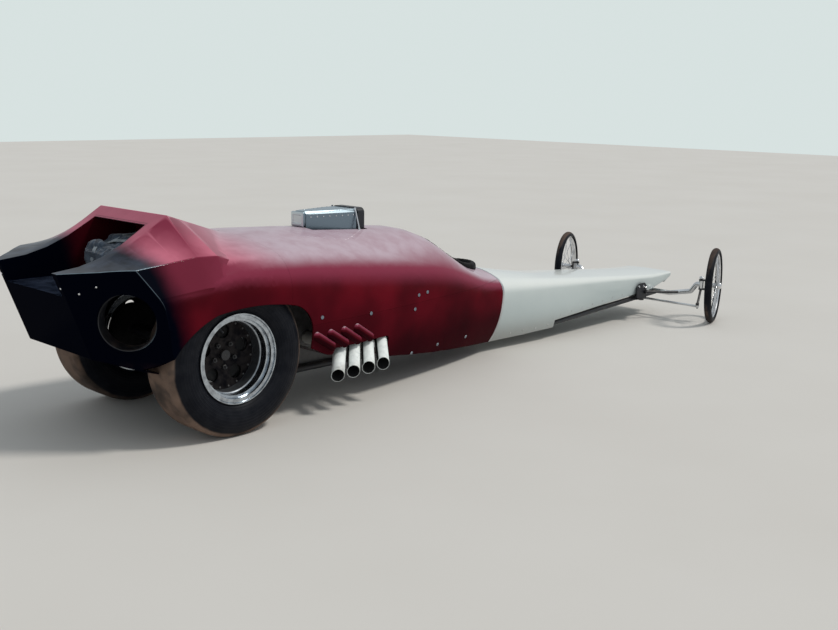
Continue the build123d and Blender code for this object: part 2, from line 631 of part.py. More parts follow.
AXLE_STUB_RADIUS = 26.0
LIP_REACH = 110.0            # from the tyre's middle out to the rim's outer lip
WHEEL_FACE_Y = REAR_TRACK / 2 + LIP_REACH - REAR_DISH   # outer face of the wheel's disc
DISC_WALL = 12.0
DISC_HOLES = 5
DISC_HOLE_RADIUS = 36.0
DISC_HOLE_CENTRE = 118.0
RIM_PROFILE = [
    # across from the tyre's middle, radius
    (-LIP_REACH, 222.0), (-104.0, 222.0), (-100.0, 198.0), (-100.0, REAR_BEAD_RADIUS),
    (60.0, REAR_BEAD_RADIUS), (66.0, 205.0), (98.0, 205.0), (102.0, REAR_RIM_RADIUS),
    (LIP_REACH, REAR_RIM_RADIUS), (LIP_REACH, 219.0), (103.0, 216.0), (103.0, 199.0), (82.0, 197.0),
    (80.0, 186.0), (40.0, 184.0), (36.0, 178.0), (-96.0, 178.0), (-104.0, 196.0), (-LIP_REACH, 214.0),
]


def ring_y(profile, y, z, x=0.0):
    """Turned ring about a cross axis, from points of offset across and radius."""
    face = Plane.XY * make_face(Polyline(*[(r, v) for v, r in profile], close=True))
    ring = revolve(face, Axis.Y)
    return ring.moved(Location((x, y, z)))


def build_rear_wheels():
    for side, name in ((1, "left"), (-1, "right")):
        middle = REAR_TRACK / 2
        wheel = ring_y([(side * v, r) for v, r in RIM_PROFILE], side * middle, REAR_TYRE_RADIUS)
        disc_out = WHEEL_FACE_Y - middle
        disc = [(disc_out, AXLE_STUB_RADIUS + RUN_FIT), (disc_out - DISC_WALL, AXLE_STUB_RADIUS + RUN_FIT),
                (disc_out - DISC_WALL, 182), (disc_out, 182)]
        wheel += ring_y([(side * v, r) for v, r in disc], side * middle, REAR_TYRE_RADIUS)
        for number in range(DISC_HOLES):
            turn = radians(360 / DISC_HOLES * number + 18)
            at = (DISC_HOLE_CENTRE * cos(turn), side * WHEEL_FACE_Y,
                  REAR_TYRE_RADIUS + DISC_HOLE_CENTRE * sin(turn))
            wheel -= Cylinder(DISC_HOLE_RADIUS, 5 * DISC_WALL, rotation=(90, 0, 0)).moved(Location(at))
        parts["rear_rim_" + name] = wheel
        half = REAR_TYRE_WIDTH / 2
        face = make_face(
            Curve()
            + Line((REAR_BEAD_RADIUS + SEAT_GAP, -99), (REAR_BEAD_RADIUS + SEAT_GAP, 59))
            + Polyline((REAR_BEAD_RADIUS + SEAT_GAP, 59), (206, 66.5), (206, 97), (230, 101))
            + ThreePointArc((230, 101), (290, half), (366, 112))
            + ThreePointArc((366, 112), (383, 102), (REAR_TYRE_RADIUS - 1, 84))
            + ThreePointArc((REAR_TYRE_RADIUS - 1, 84), (REAR_TYRE_RADIUS, 0), (REAR_TYRE_RADIUS - 1, -84))
            + ThreePointArc((REAR_TYRE_RADIUS - 1, -84), (383, -102), (366, -112))
            + ThreePointArc((366, -112), (290, -half), (230, -101))
            + Line((230, -101), (REAR_BEAD_RADIUS + SEAT_GAP, -99))
        )
        tyre = revolve(face, Axis.Y)
        if side < 0:
            tyre = mirror(tyre, about=Plane.XZ)
        parts["rear_tyre_" + name] = tyre.moved(Location((0, side * middle, REAR_TYRE_RADIUS)))


KINGPIN_Y = FRONT_TRACK / 2 - KINGPIN_INSET
BOSS_HALF = 28.0
EAR = 12.0
EAR_RADIUS = 18.0
SPINDLE_RADIUS = 10.0
TIE_ROD_Z = 135.0
ARM_RADIUS = 9.0             # steering arms and tie rod
ARM_PIN_RADIUS = 6.0
EYE_RADIUS = 14.0
EYE_DEPTH = 16.0
OPEN_FIT = 0.5               # play of the right eye, where the linkage is opened


def steered(shape, side):
    """Turn a piece modelled straight ahead about the kingpin and place it."""
    return shape.rotate(Axis.Z, STEER_REST).moved(Location((WHEELBASE, side * KINGPIN_Y, FRONT_TYRE_RADIUS)))


# Front axle, half of it: from the kingpin it drops in a bow to its level middle
AXLE_MIDDLE_Z = 184.0
AXLE_BOW = [
    # distance in from the kingpin, height
    (0.0, FRONT_TYRE_RADIUS),
    (36.0, FRONT_TYRE_RADIUS),
    (84.0, 222.0),
    (270.0, AXLE_MIDDLE_Z),
]
AXLE_BEND = 26.0


def axle_height(y):
    """Height of the axle tube's middle line, between its bow and the middle of the car."""
    (low_in, low_z), (mid_in, mid_z) = AXLE_BOW[2:]
    part_way = (KINGPIN_Y - low_in - y) / (mid_in - low_in)
    return low_z + (mid_z - low_z) * min(max(part_way, 0), 1)


def axle_tube(radius):
    right = [(WHEELBASE, inward - KINGPIN_Y, z) for inward, z in AXLE_BOW]
    left = [(x, -y, z) for x, y, z in reversed(right)]
    return bent_tube(right + left, AXLE_BEND, radius)


def build_front_axle():
    z = FRONT_TYRE_RADIUS
    tube = axle_tube(AXLE_TUBE_RADIUS)
    for side in (1, -1):
        boss = Cylinder(EAR_RADIUS, 2 * BOSS_HALF).moved(Location((WHEELBASE, side * KINGPIN_Y, z)))
        bore = Cylinder(KINGPIN_RADIUS + RUN_FIT, 200).moved(Location((WHEELBASE, side * KINGPIN_Y, z)))
        spare = Cylinder(60, 200).moved(Location((WHEELBASE, side * (KINGPIN_Y + 60), z)))
        tube = tube - spare + boss - bore
    parts["front_axle"] = tube
    wheel, tyre = front_wheel()
    for side, name in ((1, "left"), (-1, "right")):
        pin = Cylinder(KINGPIN_RADIUS, 2 * (BOSS_HALF + EAR + 6))
        ears = Part()
        for level in (1, -1):
            at = level * (BOSS_HALF + 0.5 + EAR / 2)
            ears += Cylinder(EAR_RADIUS, EAR).moved(Location((0, 0, at)))
            ears += Box(30, 34, EAR).moved(Location((0, side * 18, at)))
        reach = BOSS_HALF + 0.5 + EAR
        web = Box(30, 10, 2 * reach).moved(Location((0, side * 33, 0)))
        spindle = Cylinder(SPINDLE_RADIUS, KINGPIN_INSET + FRONT_HUB_HALF + 6 - 30, rotation=(90, 0, 0))
        middle = (KINGPIN_INSET + FRONT_HUB_HALF + 6 + 30) / 2
        spindle = spindle.moved(Location((0, side * middle, 0)))
        nut = Cylinder(15, 6, rotation=(90, 0, 0)).moved(
            Location((0, side * (KINGPIN_INSET + FRONT_HUB_HALF + SEAT_GAP + 3), 0)))
        drop = TIE_ROD_Z - z
        elbow = (-STEER_ARM / 2, 0, drop + 60)
        end = (-STEER_ARM, 0, drop + EYE_DEPTH + 1)
        arm = rod((0, 0, -reach + EAR / 2), elbow, ARM_RADIUS) + rod(elbow, end, ARM_RADIUS)
        arm += Sphere(ARM_RADIUS).moved(Location(elbow))
        arm += Cylinder(EYE_RADIUS - 1, EYE_DEPTH - 2).moved(Location(end))
        arm += Cylinder(ARM_PIN_RADIUS, 2 * EYE_DEPTH + 2).moved(Location((-STEER_ARM, 0, drop)))
        knuckle = pin + ears + web + spindle + nut + arm
        knuckle -= Part() + Cylinder(EAR_RADIUS + 4, 2 * BOSS_HALF + 1) - Cylinder(KINGPIN_RADIUS, 200)
        parts["knuckle_" + name] = steered(knuckle, side)
        parts["front_rim_" + name] = steered(wheel.moved(Location((0, side * KINGPIN_INSET, 0))), side)
        parts["front_tyre_" + name] = steered(tyre.moved(Location((0, side * KINGPIN_INSET, 0))), side)

    back, inward = STEER_ARM * cos(radians(STEER_REST)), STEER_ARM * sin(radians(STEER_REST))
    x = WHEELBASE - back
    ends = [(x, side * KINGPIN_Y - inward, TIE_ROD_Z) for side in (1, -1)]
    link = rod((x, ends[1][1] + 10, TIE_ROD_Z), (x, ends[0][1] - 10, TIE_ROD_Z), ARM_RADIUS)
    for end in ends:
        link += Cylinder(EYE_RADIUS, EYE_DEPTH).moved(Location(end))
    for end, slack in zip(ends, (RUN_FIT, OPEN_FIT)):
        link -= Cylinder(ARM_PIN_RADIUS + slack, 4 * EYE_DEPTH).moved(Location(end))
    parts["tie_rod"] = link


def front_wheel():
    """Wire wheel and its round tyre, about the cross axis."""
    core = FRONT_TYRE_RADIUS - FRONT_TYRE_SECTION
    rim = ring_y([(-17, core - 8), (17, core - 8), (17, core - 18), (9, core - 24), (-9, core - 24),
                  (-17, core - 18)], 0, 0)
    hub = Cylinder(18, 2 * FRONT_HUB_HALF, rotation=(90, 0, 0))
    for level in (1, -1):
        hub += Cylinder(30, 5, rotation=(90, 0, 0)).moved(Location((0, level * 30, 0)))
    spokes = []
    for number in range(FRONT_SPOKES):
        turn = radians(360 / FRONT_SPOKES * number)
        lead = radians(28 if number % 4 < 2 else -28)
        level = 30 if number % 2 else -30
        start = (26 * cos(turn - lead), level, 26 * sin(turn - lead))
        spokes.append(rod(start, ((core - 20) * cos(turn), level * 0.1, (core - 20) * sin(turn)), SPOKE_RADIUS))
    wheel = rim + hub + spokes
    wheel -= Cylinder(SPINDLE_RADIUS + RUN_FIT, 200, rotation=(90, 0, 0))
    tyre = Torus(core, FRONT_TYRE_SECTION, rotation=(90, 0, 0))
    tyre -= Cylinder(core - 8 + SEAT_GAP, 100, rotation=(90, 0, 0))
    return wheel, tyre


def front_reach():
    """Foremost point of the right front tyre, as it is turned at rest."""
    turn = radians(STEER_REST)
    return (WHEELBASE + KINGPIN_INSET * sin(turn)
            + (FRONT_TYRE_RADIUS - FRONT_TYRE_SECTION) * cos(turn) + FRONT_TYRE_SECTION)


build_body()
build_tail_pieces()
build_nose()
build_frame()
build_cockpit()
build_engine()
build_exhausts()
build_rear_axle()
build_rear_wheels()
build_front_axle()
build_front_brackets()

tail_reach = min(shape.bounding_box().min.X for shape in parts.values())
BOX_MIDDLE_X = (front_reach() + tail_reach) / 2

os.makedirs("parts", exist_ok=True)
for name, shape in parts.items():
    placed = shape.moved(Location((-BOX_MIDDLE_X, 0, 0)))
    placed.label = name
    export_step(placed, f"parts/{name}.step")
print("middle of the box ahead of the rear axle", BOX_MIDDLE_X, "tail", tail_reach)
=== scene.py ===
# %% [markdown]
# A streamlined drag racing car, dressed in Blender.
# The car's construction comes packed as a fixed frame: real sizes, real joints, plain surfaces.
# This lesson gives each surface its finish and adds the small forms that a finish can't give.

# %% Load the frame
import json
from math import cos, pi, radians, sin

import bmesh
import bpy
from mathutils import Matrix, Vector, noise


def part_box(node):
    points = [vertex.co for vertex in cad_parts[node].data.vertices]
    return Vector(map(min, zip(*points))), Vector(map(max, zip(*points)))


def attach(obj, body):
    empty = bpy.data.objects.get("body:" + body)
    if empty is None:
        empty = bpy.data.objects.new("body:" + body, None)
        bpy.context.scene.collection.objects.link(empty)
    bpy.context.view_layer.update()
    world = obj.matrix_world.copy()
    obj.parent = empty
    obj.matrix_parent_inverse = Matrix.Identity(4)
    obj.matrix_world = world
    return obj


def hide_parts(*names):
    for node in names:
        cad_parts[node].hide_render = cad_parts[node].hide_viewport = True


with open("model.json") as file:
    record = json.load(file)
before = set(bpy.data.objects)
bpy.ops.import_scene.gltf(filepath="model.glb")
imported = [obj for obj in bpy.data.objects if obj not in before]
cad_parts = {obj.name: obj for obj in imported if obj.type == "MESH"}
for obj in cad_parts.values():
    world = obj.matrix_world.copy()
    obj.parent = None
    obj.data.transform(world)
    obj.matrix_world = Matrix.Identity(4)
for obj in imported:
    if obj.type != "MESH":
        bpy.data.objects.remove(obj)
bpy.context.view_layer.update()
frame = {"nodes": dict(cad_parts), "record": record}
scene = bpy.context.scene
nodes = frame["nodes"]
record = frame["record"]
slot_of = {sub["node"]: sub["material_slot"] for sub in record["subparts"]}
body_of = {node: body for body, held in record["behaviour"]["bodies"].items() for node in held}

# %% [markdown]
# Places on the car are easiest to give from the rear axle, as on a drawing.
# They could be given from the origin, but then each would be an odd number. Here the axle's own
# place is read from the frame, so a change of the body's length moves nothing else.

# %% Where the axles are
def corners(node):
    """A node's lowest and highest corners at rest."""
    low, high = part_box(node)
    return Vector(low), Vector(high)


def middle_of(node):
    low, high = corners(node)
    return (low + high) / 2


SIDES = (("right", -1), ("left", 1))     # each side of the car and the sign of its y
REAR_WHEEL = middle_of("rear_tyre_right")
FRONT_AXLE = middle_of("front_axle")
SEAM_X = corners("nose_cowl")[0].x       # where the red body ends and the white nose begins


def on_car(x, y, z):
    """A point given from the ground under the rear axle."""
    return Vector((REAR_WHEEL.x + x, y, z))


print("rear axle at", round(REAR_WHEEL.x, 4), "wheelbase", round(FRONT_AXLE.x - REAR_WHEEL.x, 3))

# %% [markdown]
# The camera stands where the photographer stood: behind the right rear wheel, at eye height.
# A camera could be framed by eye. Here it is set from its heading, its dip and its roll, because
# those three angles can each be corrected alone.

# %% Camera
CAMERA_AT = on_car(-3.106, -4.787, 1.657)
CAMERA_HEADING = 44.13                   # degrees to the left of the car's nose
CAMERA_DIP = 11.28
CAMERA_ROLL = 0.95
CAMERA_LENS = 47.0

camera_data = bpy.data.cameras.new("camera")
camera_data.lens = CAMERA_LENS
camera_data.clip_start = 0.05
camera = bpy.data.objects.new("camera", camera_data)
scene.collection.objects.link(camera)
camera.matrix_world = (
    Matrix.Translation(CAMERA_AT)
    @ Matrix.Rotation(radians(CAMERA_HEADING - 90), 4, "Z")
    @ Matrix.Rotation(radians(90 - CAMERA_DIP), 4, "X")
    @ Matrix.Rotation(radians(CAMERA_ROLL), 4, "Z")
)
scene.camera = camera
print("camera at", [round(v, 3) for v in CAMERA_AT])

# %% [markdown]
# A finish is worked out from where a point lies on the car: how high, how far back, facing where.
# Flat colours could be given to each piece, but real paint fades, gathers dust and is never even.
# The helpers below are the few steps that every finish here is put together from.

# %% Helpers for finishes: the steps
class Steps:
    """A material that is built up from small steps."""

    def __init__(self, name, roughness, metallic=0.0, coat=0.0, coat_roughness=0.08, specular=0.5):
        self.material = bpy.data.materials.new(name)
        self.material.use_nodes = True
        self.tree = self.material.node_tree
        self.shader = self.tree.nodes["Principled BSDF"]
        self.coordinates = self.tree.nodes.new("ShaderNodeTexCoord")
        constants = {"Roughness": roughness, "Metallic": metallic, "Coat Weight": coat,
                     "Coat Roughness": coat_roughness, "Specular IOR Level": specular}
        for socket, value in constants.items():
            self.give(socket, value)

    def give(self, socket, value):
        """Set one of the shader's own sockets."""
        self.feed(self.shader.inputs[socket], value)

    def feed(self, socket, value):
        """Put a colour, a number or another step's result into a socket."""
        if isinstance(value, bpy.types.NodeSocket):
            self.tree.links.new(value, socket)
        elif socket.type == "RGBA":
            socket.default_value = (*value, 1)
        else:
            socket.default_value = value

    def step(self, kind, inputs, **settings):
        made = self.tree.nodes.new(kind)
        for key, value in settings.items():
            setattr(made, key, value)
        for key, value in inputs.items():
            self.feed(made.inputs[key], value)
        return made

    def math(self, operation, *values):
        return self.step("ShaderNodeMath", dict(enumerate(values)), operation=operation).outputs[0]

    def sum(self, a, b):
        return self.math("ADD", a, b)

    def times(self, a, b):
        return self.math("MULTIPLY", a, b)

    def between(self, factor, a, b):
        """A number that goes from a to b as the factor goes from 0 to 1."""
        return self.sum(a, self.times(factor, self.math("SUBTRACT", b, a)))

    def mix(self, factor, a, b):
        """A colour that goes from a to b as the factor goes from 0 to 1."""
        return self.step("ShaderNodeMix", {0: factor, 6: a, 7: b}, data_type="RGBA").outputs[2]

    def spread(self, value, low, high, out_low=0.0, out_high=1.0):
        """Smooth rise from out_low to out_high while the value goes from low to high."""
        inputs = {"Value": value, "From Min": low, "From Max": high, "To Min": out_low, "To Max": out_high}
        return self.step("ShaderNodeMapRange", inputs, interpolation_type="SMOOTHSTEP").outputs[0]


print("the steps are ready")

# %% [markdown]
# Every pattern reads the piece's own Object coordinates, in metres. Generated coordinates would
# stretch with each piece's box, and then the grain would be coarse on the body and fine on a nut.

# %% Helpers for finishes: places and patterns
class Finish(Steps):
    """A material that knows where a point lies on the car."""

    def place(self, centre=(0, 0, 0), scale=(1, 1, 1)):
        """Object coordinates about a centre of the pattern."""
        inputs = {0: self.coordinates.outputs["Object"], 1: tuple(centre)}
        moved = self.step("ShaderNodeVectorMath", inputs, operation="SUBTRACT").outputs[0]
        return self.step("ShaderNodeMapping", {"Vector": moved, "Scale": scale}).outputs[0]

    def axis(self, letter, centre=(0, 0, 0)):
        return self.step("ShaderNodeSeparateXYZ", {0: self.place(centre)}).outputs[letter]

    def facing(self, letter):
        """How far the surface faces along an axis of the car, from -1 to 1."""
        normal = self.coordinates.outputs["Normal"]
        return self.step("ShaderNodeSeparateXYZ", {0: normal}).outputs[letter]

    def away_from_axle(self, centre):
        """Distance from a wheel's axle, which runs across the car."""
        flat = self.place(centre, scale=(1, 0, 1))
        return self.step("ShaderNodeVectorMath", {0: flat}, operation="LENGTH").outputs["Value"]

    def noise(self, size, detail, stretch=(1, 1, 1)):
        """A cloudy pattern with patches of about that size in metres."""
        inputs = {"Vector": self.place(scale=stretch), "Scale": 1 / size, "Detail": detail,
                  "Roughness": 0.55}
        return self.step("ShaderNodeTexNoise", inputs).outputs[0]

    def bump(self, height, depth):
        """Raise the surface by the height pattern, up to depth in metres."""
        made = self.step("ShaderNodeBump", {"Height": height, "Distance": depth})
        normal = self.shader.inputs["Normal"]
        if normal.links:
            self.feed(made.inputs["Normal"], normal.links[0].from_socket)
        self.feed(normal, made.outputs[0])

    def rolled_edges(self, radius):
        """Shade sharp edges as if the sheet were rolled over them. Comes before any bump."""
        self.give("Normal", self.step("ShaderNodeBevel", {"Radius": radius}, samples=6).outputs[0])


finishes = {}                            # by the name of a slot, or of a node that has its own
print("helpers for finishes are ready")

# %% [markdown]
# The body is hand-formed sheet under many coats of candy red. What faces up is lightened by a painted
# sky sheen and what faces down is darkened by painted shade. Dust lies low on the flanks, and the tail
# was misted with black from the rear.
# The red could be one colour with a mask painted over it. Working it out from height and facing
# keeps it even across the joints between the panels.

# %% Colours of the body
DEEP_RED = (0.060, 0.0035, 0.0075)
MID_RED = (0.135, 0.0055, 0.013)
# Painted light: a painted sky sheen on the flank's upper side, painted shade underneath, and a painted sky
# sheen on the tail's top and on the deck.
SHEEN_RED = (0.225, 0.030, 0.062)
SHADED_UNDER_RED = (0.012, 0.001, 0.003)
TAIL_SHEEN = (0.56, 0.155, 0.225)
DECK_SHEEN = (0.50, 0.395, 0.455)
DUST = (0.16, 0.105, 0.075)
SOIL = (0.060, 0.028, 0.024)
NIGHT = (0.0006, 0.0012, 0.0045)
# painted sky sheen on the black where it faces up
NIGHT_SHEEN = (0.030, 0.040, 0.065)
PAINTED_EDGE_HIGHLIGHT = (0.24, 0.32, 0.38)         # a painted highlight of the sky on the black's rolled edges
print("red: flank", DEEP_RED, "deck", DECK_SHEEN, "black:", NIGHT)

# %% [markdown]
# The black was sprayed from the rear, so its border is soft and leans back as it rises, and a
# little noise makes it speckled. It's one factor, and all that differs on black hangs on it.

# %% Black mist over the tail
MIST_X = -0.325                          # middle of the mist from the rear axle, at MIST_HEIGHT
MIST_HEIGHT = 0.6
MIST_LEAN = 0.30                         # how much further back it starts for each metre of height
MIST_WIDTH = 0.15
MIST_SPECKLE = 0.05


def misted(paint, red, gloss, up, patch, height):
    """Lay the black mist over the red from the rear, with a painted sky sheen on its top and painted
    highlights on its rolled edges, and soil on the lowest lip.
    """
    back = paint.axis("X", on_car(MIST_X, 0, 0))
    lean = paint.times(paint.axis("Z", (0, 0, MIST_HEIGHT)), MIST_LEAN)
    speckle = paint.times(paint.noise(0.12, detail=5.0), MIST_SPECKLE)
    edge = paint.sum(paint.sum(back, lean), speckle)
    black = paint.spread(edge, (MIST_SPECKLE + MIST_WIDTH) / 2, (MIST_SPECKLE - MIST_WIDTH) / 2)
    # Painted sky sheen on the black where it faces up, in patches.
    black_sheen = paint.times(paint.spread(up, 0.3, 0.95), paint.spread(patch, 0.2, 0.8))
    rolled = paint.step("ShaderNodeAttribute", {}, attribute_name="rolled").outputs["Fac"]
    # Painted highlight on the rolled edges that face up, uneven along them.
    polish_and_highlight = paint.times(rolled, paint.spread(up, -0.1, 0.5))
    polish_and_highlight = paint.times(polish_and_highlight, paint.spread(patch, 0.2, 0.6, 0.5, 0.95))
    night = paint.mix(polish_and_highlight, paint.mix(black_sheen, NIGHT, NIGHT_SHEEN), PAINTED_EDGE_HIGHLIGHT)
    soil = paint.times(paint.spread(height, 0.45, 0.39), paint.spread(patch, 0.4, 0.7))
    soil = paint.times(soil, paint.times(black, 0.22))
    gloss = paint.between(black, gloss, paint.spread(up, 0.1, 0.7, 0.03, 0.7))
    return paint.mix(soil, paint.mix(black, red, night), SOIL), gloss


print("black mist", MIST_WIDTH, "wide, from", MIST_X, "behind the rear axle")

# %% [markdown]
# The red goes from nearly black underneath, which is painted shade, over deep red on the flank, to a
# painted sky sheen on top: pink on the tail and dull rose on the deck. Each layer is mixed over the ones
# before it.

# %% Candy red
EDGE_ROUNDING = 0.007                    # radius to which the sheet's edges are rolled


def body_paint(name, mist=False):
    paint = Finish(name, roughness=0.34, coat=0.7, coat_roughness=0.09, specular=0.0)
    paint.give("Coat IOR", 1.25)
    up = paint.facing("Z")
    along = paint.axis("X", on_car(0, 0, 0))
    height = paint.axis("Z")
    patch = paint.noise(0.09, detail=6.0)
    red = paint.mix(paint.spread(paint.noise(0.55, detail=3.0), 0.35, 0.7), DEEP_RED, MID_RED)
    # Painted sky sheen: what faces up turns a paler red.
    red = paint.mix(paint.spread(up, 0.10, 0.55, 0.0, 0.95), red, SHEEN_RED)
    # Painted sky sheen on the tops, pink on the tail and pale rose on the deck, in patches.
    top = paint.mix(paint.spread(along, -0.10, 0.40), TAIL_SHEEN, DECK_SHEEN)
    sheen_reach = paint.between(paint.spread(along, -0.15, 0.40), paint.spread(up, 0.76, 0.93),
                            paint.spread(up, 0.54, 0.88))
    red = paint.mix(paint.times(sheen_reach, paint.spread(patch, 0.25, 0.7, 0.75, 1.0)), red, top)
    dusty_foot = paint.times(paint.spread(height, 0.30, 0.08), paint.spread(patch, 0.42, 0.70))
    red = paint.mix(paint.times(dusty_foot, 0.09), red, DUST)
    # Painted shade: what faces down goes nearly black.
    red = paint.mix(paint.times(paint.spread(up, 0.02, -0.30), 0.75), red, SHADED_UNDER_RED)
    gloss = paint.spread(up, -0.05, 0.60, 0.10, 0.7)
    if mist:
        red, gloss = misted(paint, red, gloss, up, patch, height)
    paint.give("Base Color", red)
    paint.give("Coat Weight", gloss)
    paint.give("Roughness", paint.spread(patch, 0.3, 0.75, 0.28, 0.46))
    paint.rolled_edges(EDGE_ROUNDING)
    paint.bump(paint.noise(0.42, detail=1.0), 0.0035)
    paint.bump(paint.noise(0.0035, detail=2.0), 0.00006)
    return paint.material


finishes["paint_red"] = body_paint("candy_red")
finishes["paint_tail"] = finishes["parachute_pocket"] = body_paint("candy_red_misted", mist=True)
print("body paints", sorted(finishes))

# %% [markdown]
# The nose is white enamel over the same sheet. It's brightest on top and darker and bluer on its lower
# sides, which is painted shade, and a little dust lies along its foot. The shade could be a drawn mask.
# Two whites mixed by the way the surface faces need none, and they follow the nose when its shape changes.

# %% White enamel
WHITE = (0.76, 0.79, 0.765)
# painted shade: the white of the lower sides, darker and bluer
SHADED_WHITE = (0.47, 0.545, 0.55)


def nose_paint():
    paint = Finish("white_enamel", roughness=0.3, coat=0.6, coat_roughness=0.1, specular=0.3)
    patch = paint.noise(0.16, detail=5.0)
    # Painted shade: the white darkens as the surface turns down, with some random tone.
    grime_and_shade = paint.sum(paint.spread(paint.facing("Z"), 0.55, -0.25, 0.0, 0.85), paint.times(patch, 0.18))
    white = paint.mix(grime_and_shade, WHITE, SHADED_WHITE)
    speck = paint.spread(paint.noise(0.018, detail=3.0), 0.66, 0.78)
    low = paint.spread(paint.axis("Z"), 0.3, 0.08)
    dusty_foot = paint.times(paint.sum(speck, low), paint.times(low, 0.4))
    paint.give("Base Color", paint.mix(dusty_foot, white, DUST))
    paint.rolled_edges(EDGE_ROUNDING)
    paint.bump(paint.noise(0.35, detail=1.0), 0.003)
    paint.bump(paint.noise(0.0035, detail=2.0), 0.00005)
    return paint.material


finishes["paint_white"] = nose_paint()
print("white: top", WHITE, "foot", SHADED_WHITE)

# %% [markdown]
# Black parts are of several kinds: satin frame paint, cast and painted axle parts, rubber, leather.
# One black for all would look like a hole in the picture. Each gets its own gloss and its own dust.

# %% Blacks and greys
def dusty(name, colour, roughness, grain, dust=0.25, depth=0.0002, metallic=0.0, specular=0.5, worn=None):
    """A plain finish with cloudy tone, dust on what faces up and a fine grain."""
    made = Finish(name, roughness=roughness, metallic=metallic, specular=specular)
    cloud = made.noise(grain * 12, detail=5.0)
    dark = tuple(v * 0.62 for v in colour)
    tone = made.mix(made.spread(cloud, 0.3, 0.7), dark, colour)
    if worn:
        chips = made.spread(made.noise(grain * 5, detail=6.0), 0.64, 0.72)
        tone = made.mix(made.times(chips, 0.8), tone, worn)
    settled = made.times(made.spread(made.facing("Z"), 0.1, 1.0), made.spread(cloud, 0.35, 0.65))
    made.give("Base Color", made.mix(made.times(settled, dust), tone, DUST))
    made.give("Roughness", made.spread(cloud, 0.3, 0.7, roughness * 0.8, min(roughness * 1.25, 1.0)))
    made.bump(made.noise(grain, detail=3.0), depth)
    return made.material


FRAME_CHIPS = (0.07, 0.06, 0.055)
AXLE_CHIPS = (0.11, 0.10, 0.09)
finishes |= {
    "paint_black": dusty("duct_black", (0.010, 0.011, 0.016), 0.5, 0.004),
    "frame_black": dusty("frame_satin_black", (0.014, 0.016, 0.021), 0.42, 0.003, worn=FRAME_CHIPS),
    "axle_black": dusty("axle_black_enamel", (0.02, 0.021, 0.025), 0.36, 0.003, worn=AXLE_CHIPS),
    "cast_grey": dusty("cast_iron_grey", (0.16, 0.16, 0.165), 0.62, 0.0025, depth=0.0005, metallic=0.6),
    "steering_black": dusty("wheel_rim_black", (0.018, 0.018, 0.019), 0.55, 0.0015),
    "scoop_rubber": dusty("mouth_black_rubber", (0.008, 0.010, 0.017), 0.42, 0.003, dust=0.1),
}
# Soot inside the pipes, and painted shade on the brake drums.
soot_and_shade = dusty("soot_and_shade", (0.006, 0.006, 0.007), 0.95, 0.004, dust=0.0)
print("finishes with the blacks and greys", len(finishes))

# %% [markdown]
# Bright metal shows what stands around it, so its own colour matters less than its roughness.
# Sheet is brushed one way, and plating is smooth with a few smudges.

# %% Bright metals
PLATING = (0.80, 0.81, 0.83)


def brushed(name, colour, roughness, stretch, depth):
    metal = Finish(name, roughness=roughness, metallic=1.0)
    lines = metal.noise(0.02, detail=5.0, stretch=stretch)
    smudge = metal.noise(0.12, detail=5.0)
    dull = tuple(v * 0.72 for v in colour)
    metal.give("Base Color", metal.mix(metal.spread(smudge, 0.3, 0.7), dull, colour))
    gloss = metal.spread(smudge, 0.3, 0.75, roughness * 0.7, roughness)
    metal.give("Roughness", metal.sum(metal.times(lines, 0.18), gloss))
    metal.bump(lines, depth)
    return metal.material


finishes["aluminium_sheet"] = brushed("brushed_sheet", (0.62, 0.63, 0.65), 0.36, (0.2, 6, 6), 0.00006)
finishes["wire_chrome"] = brushed("wire_plating", PLATING, 0.16, (1, 1, 1), 0.00002)
finishes["chrome"] = brushed("axle_plating", PLATING, 0.13, (1, 1, 1), 0.00002)
print("metals", sorted(name for name in finishes if "chrome" in name or "alum" in name))

# %% [markdown]
# The injector box is satin sheet too. Its colour is painted by the way each face points: a painted
# highlight on its rear face, and painted shade on its sides, which are a darker blue-grey than its top.

# %% Injector box finish
def injector_finish():
    metal = Finish("injector_satin", roughness=0.34, metallic=1.0)
    lines = metal.noise(0.02, detail=5.0, stretch=(0.3, 5, 5))
    # Painted shade: faces that turn away from the sky go darker blue-grey.
    side = metal.spread(metal.facing("Z"), 0.7, 0.2)
    # Painted highlight on the faces that look back.
    rear = metal.spread(metal.facing("X"), -0.25, -0.85)
    tone = metal.mix(side, (0.42, 0.52, 0.58), (0.20, 0.26, 0.32))
    tone = metal.mix(rear, tone, (0.74, 0.79, 0.79))
    metal.give("Base Color", metal.mix(metal.times(lines, 0.35), tone, (0.25, 0.29, 0.33)))
    metal.give("Roughness", metal.sum(metal.times(lines, 0.2), 0.24))
    metal.bump(lines, 0.00006)
    return metal.material


finishes["injector_aluminium"] = injector_finish()
print("injector box is satin, bright at the rear")

# %% [markdown]
# The rear wheels have a polished lip and barrel round a deep, dull casting that brake dust has browned.
# The distance from the axle tells them apart, so that each part gets its own gloss on one piece.

# %% Rear wheel finish
LIP_RADIUS = 0.186                       # outside this the wheel is polished
BARREL_RADIUS = 0.168                    # and outside this where it lies beyond the casting
CASTING_DEPTH = 0.03                     # how far the casting reaches out from the wheel's middle


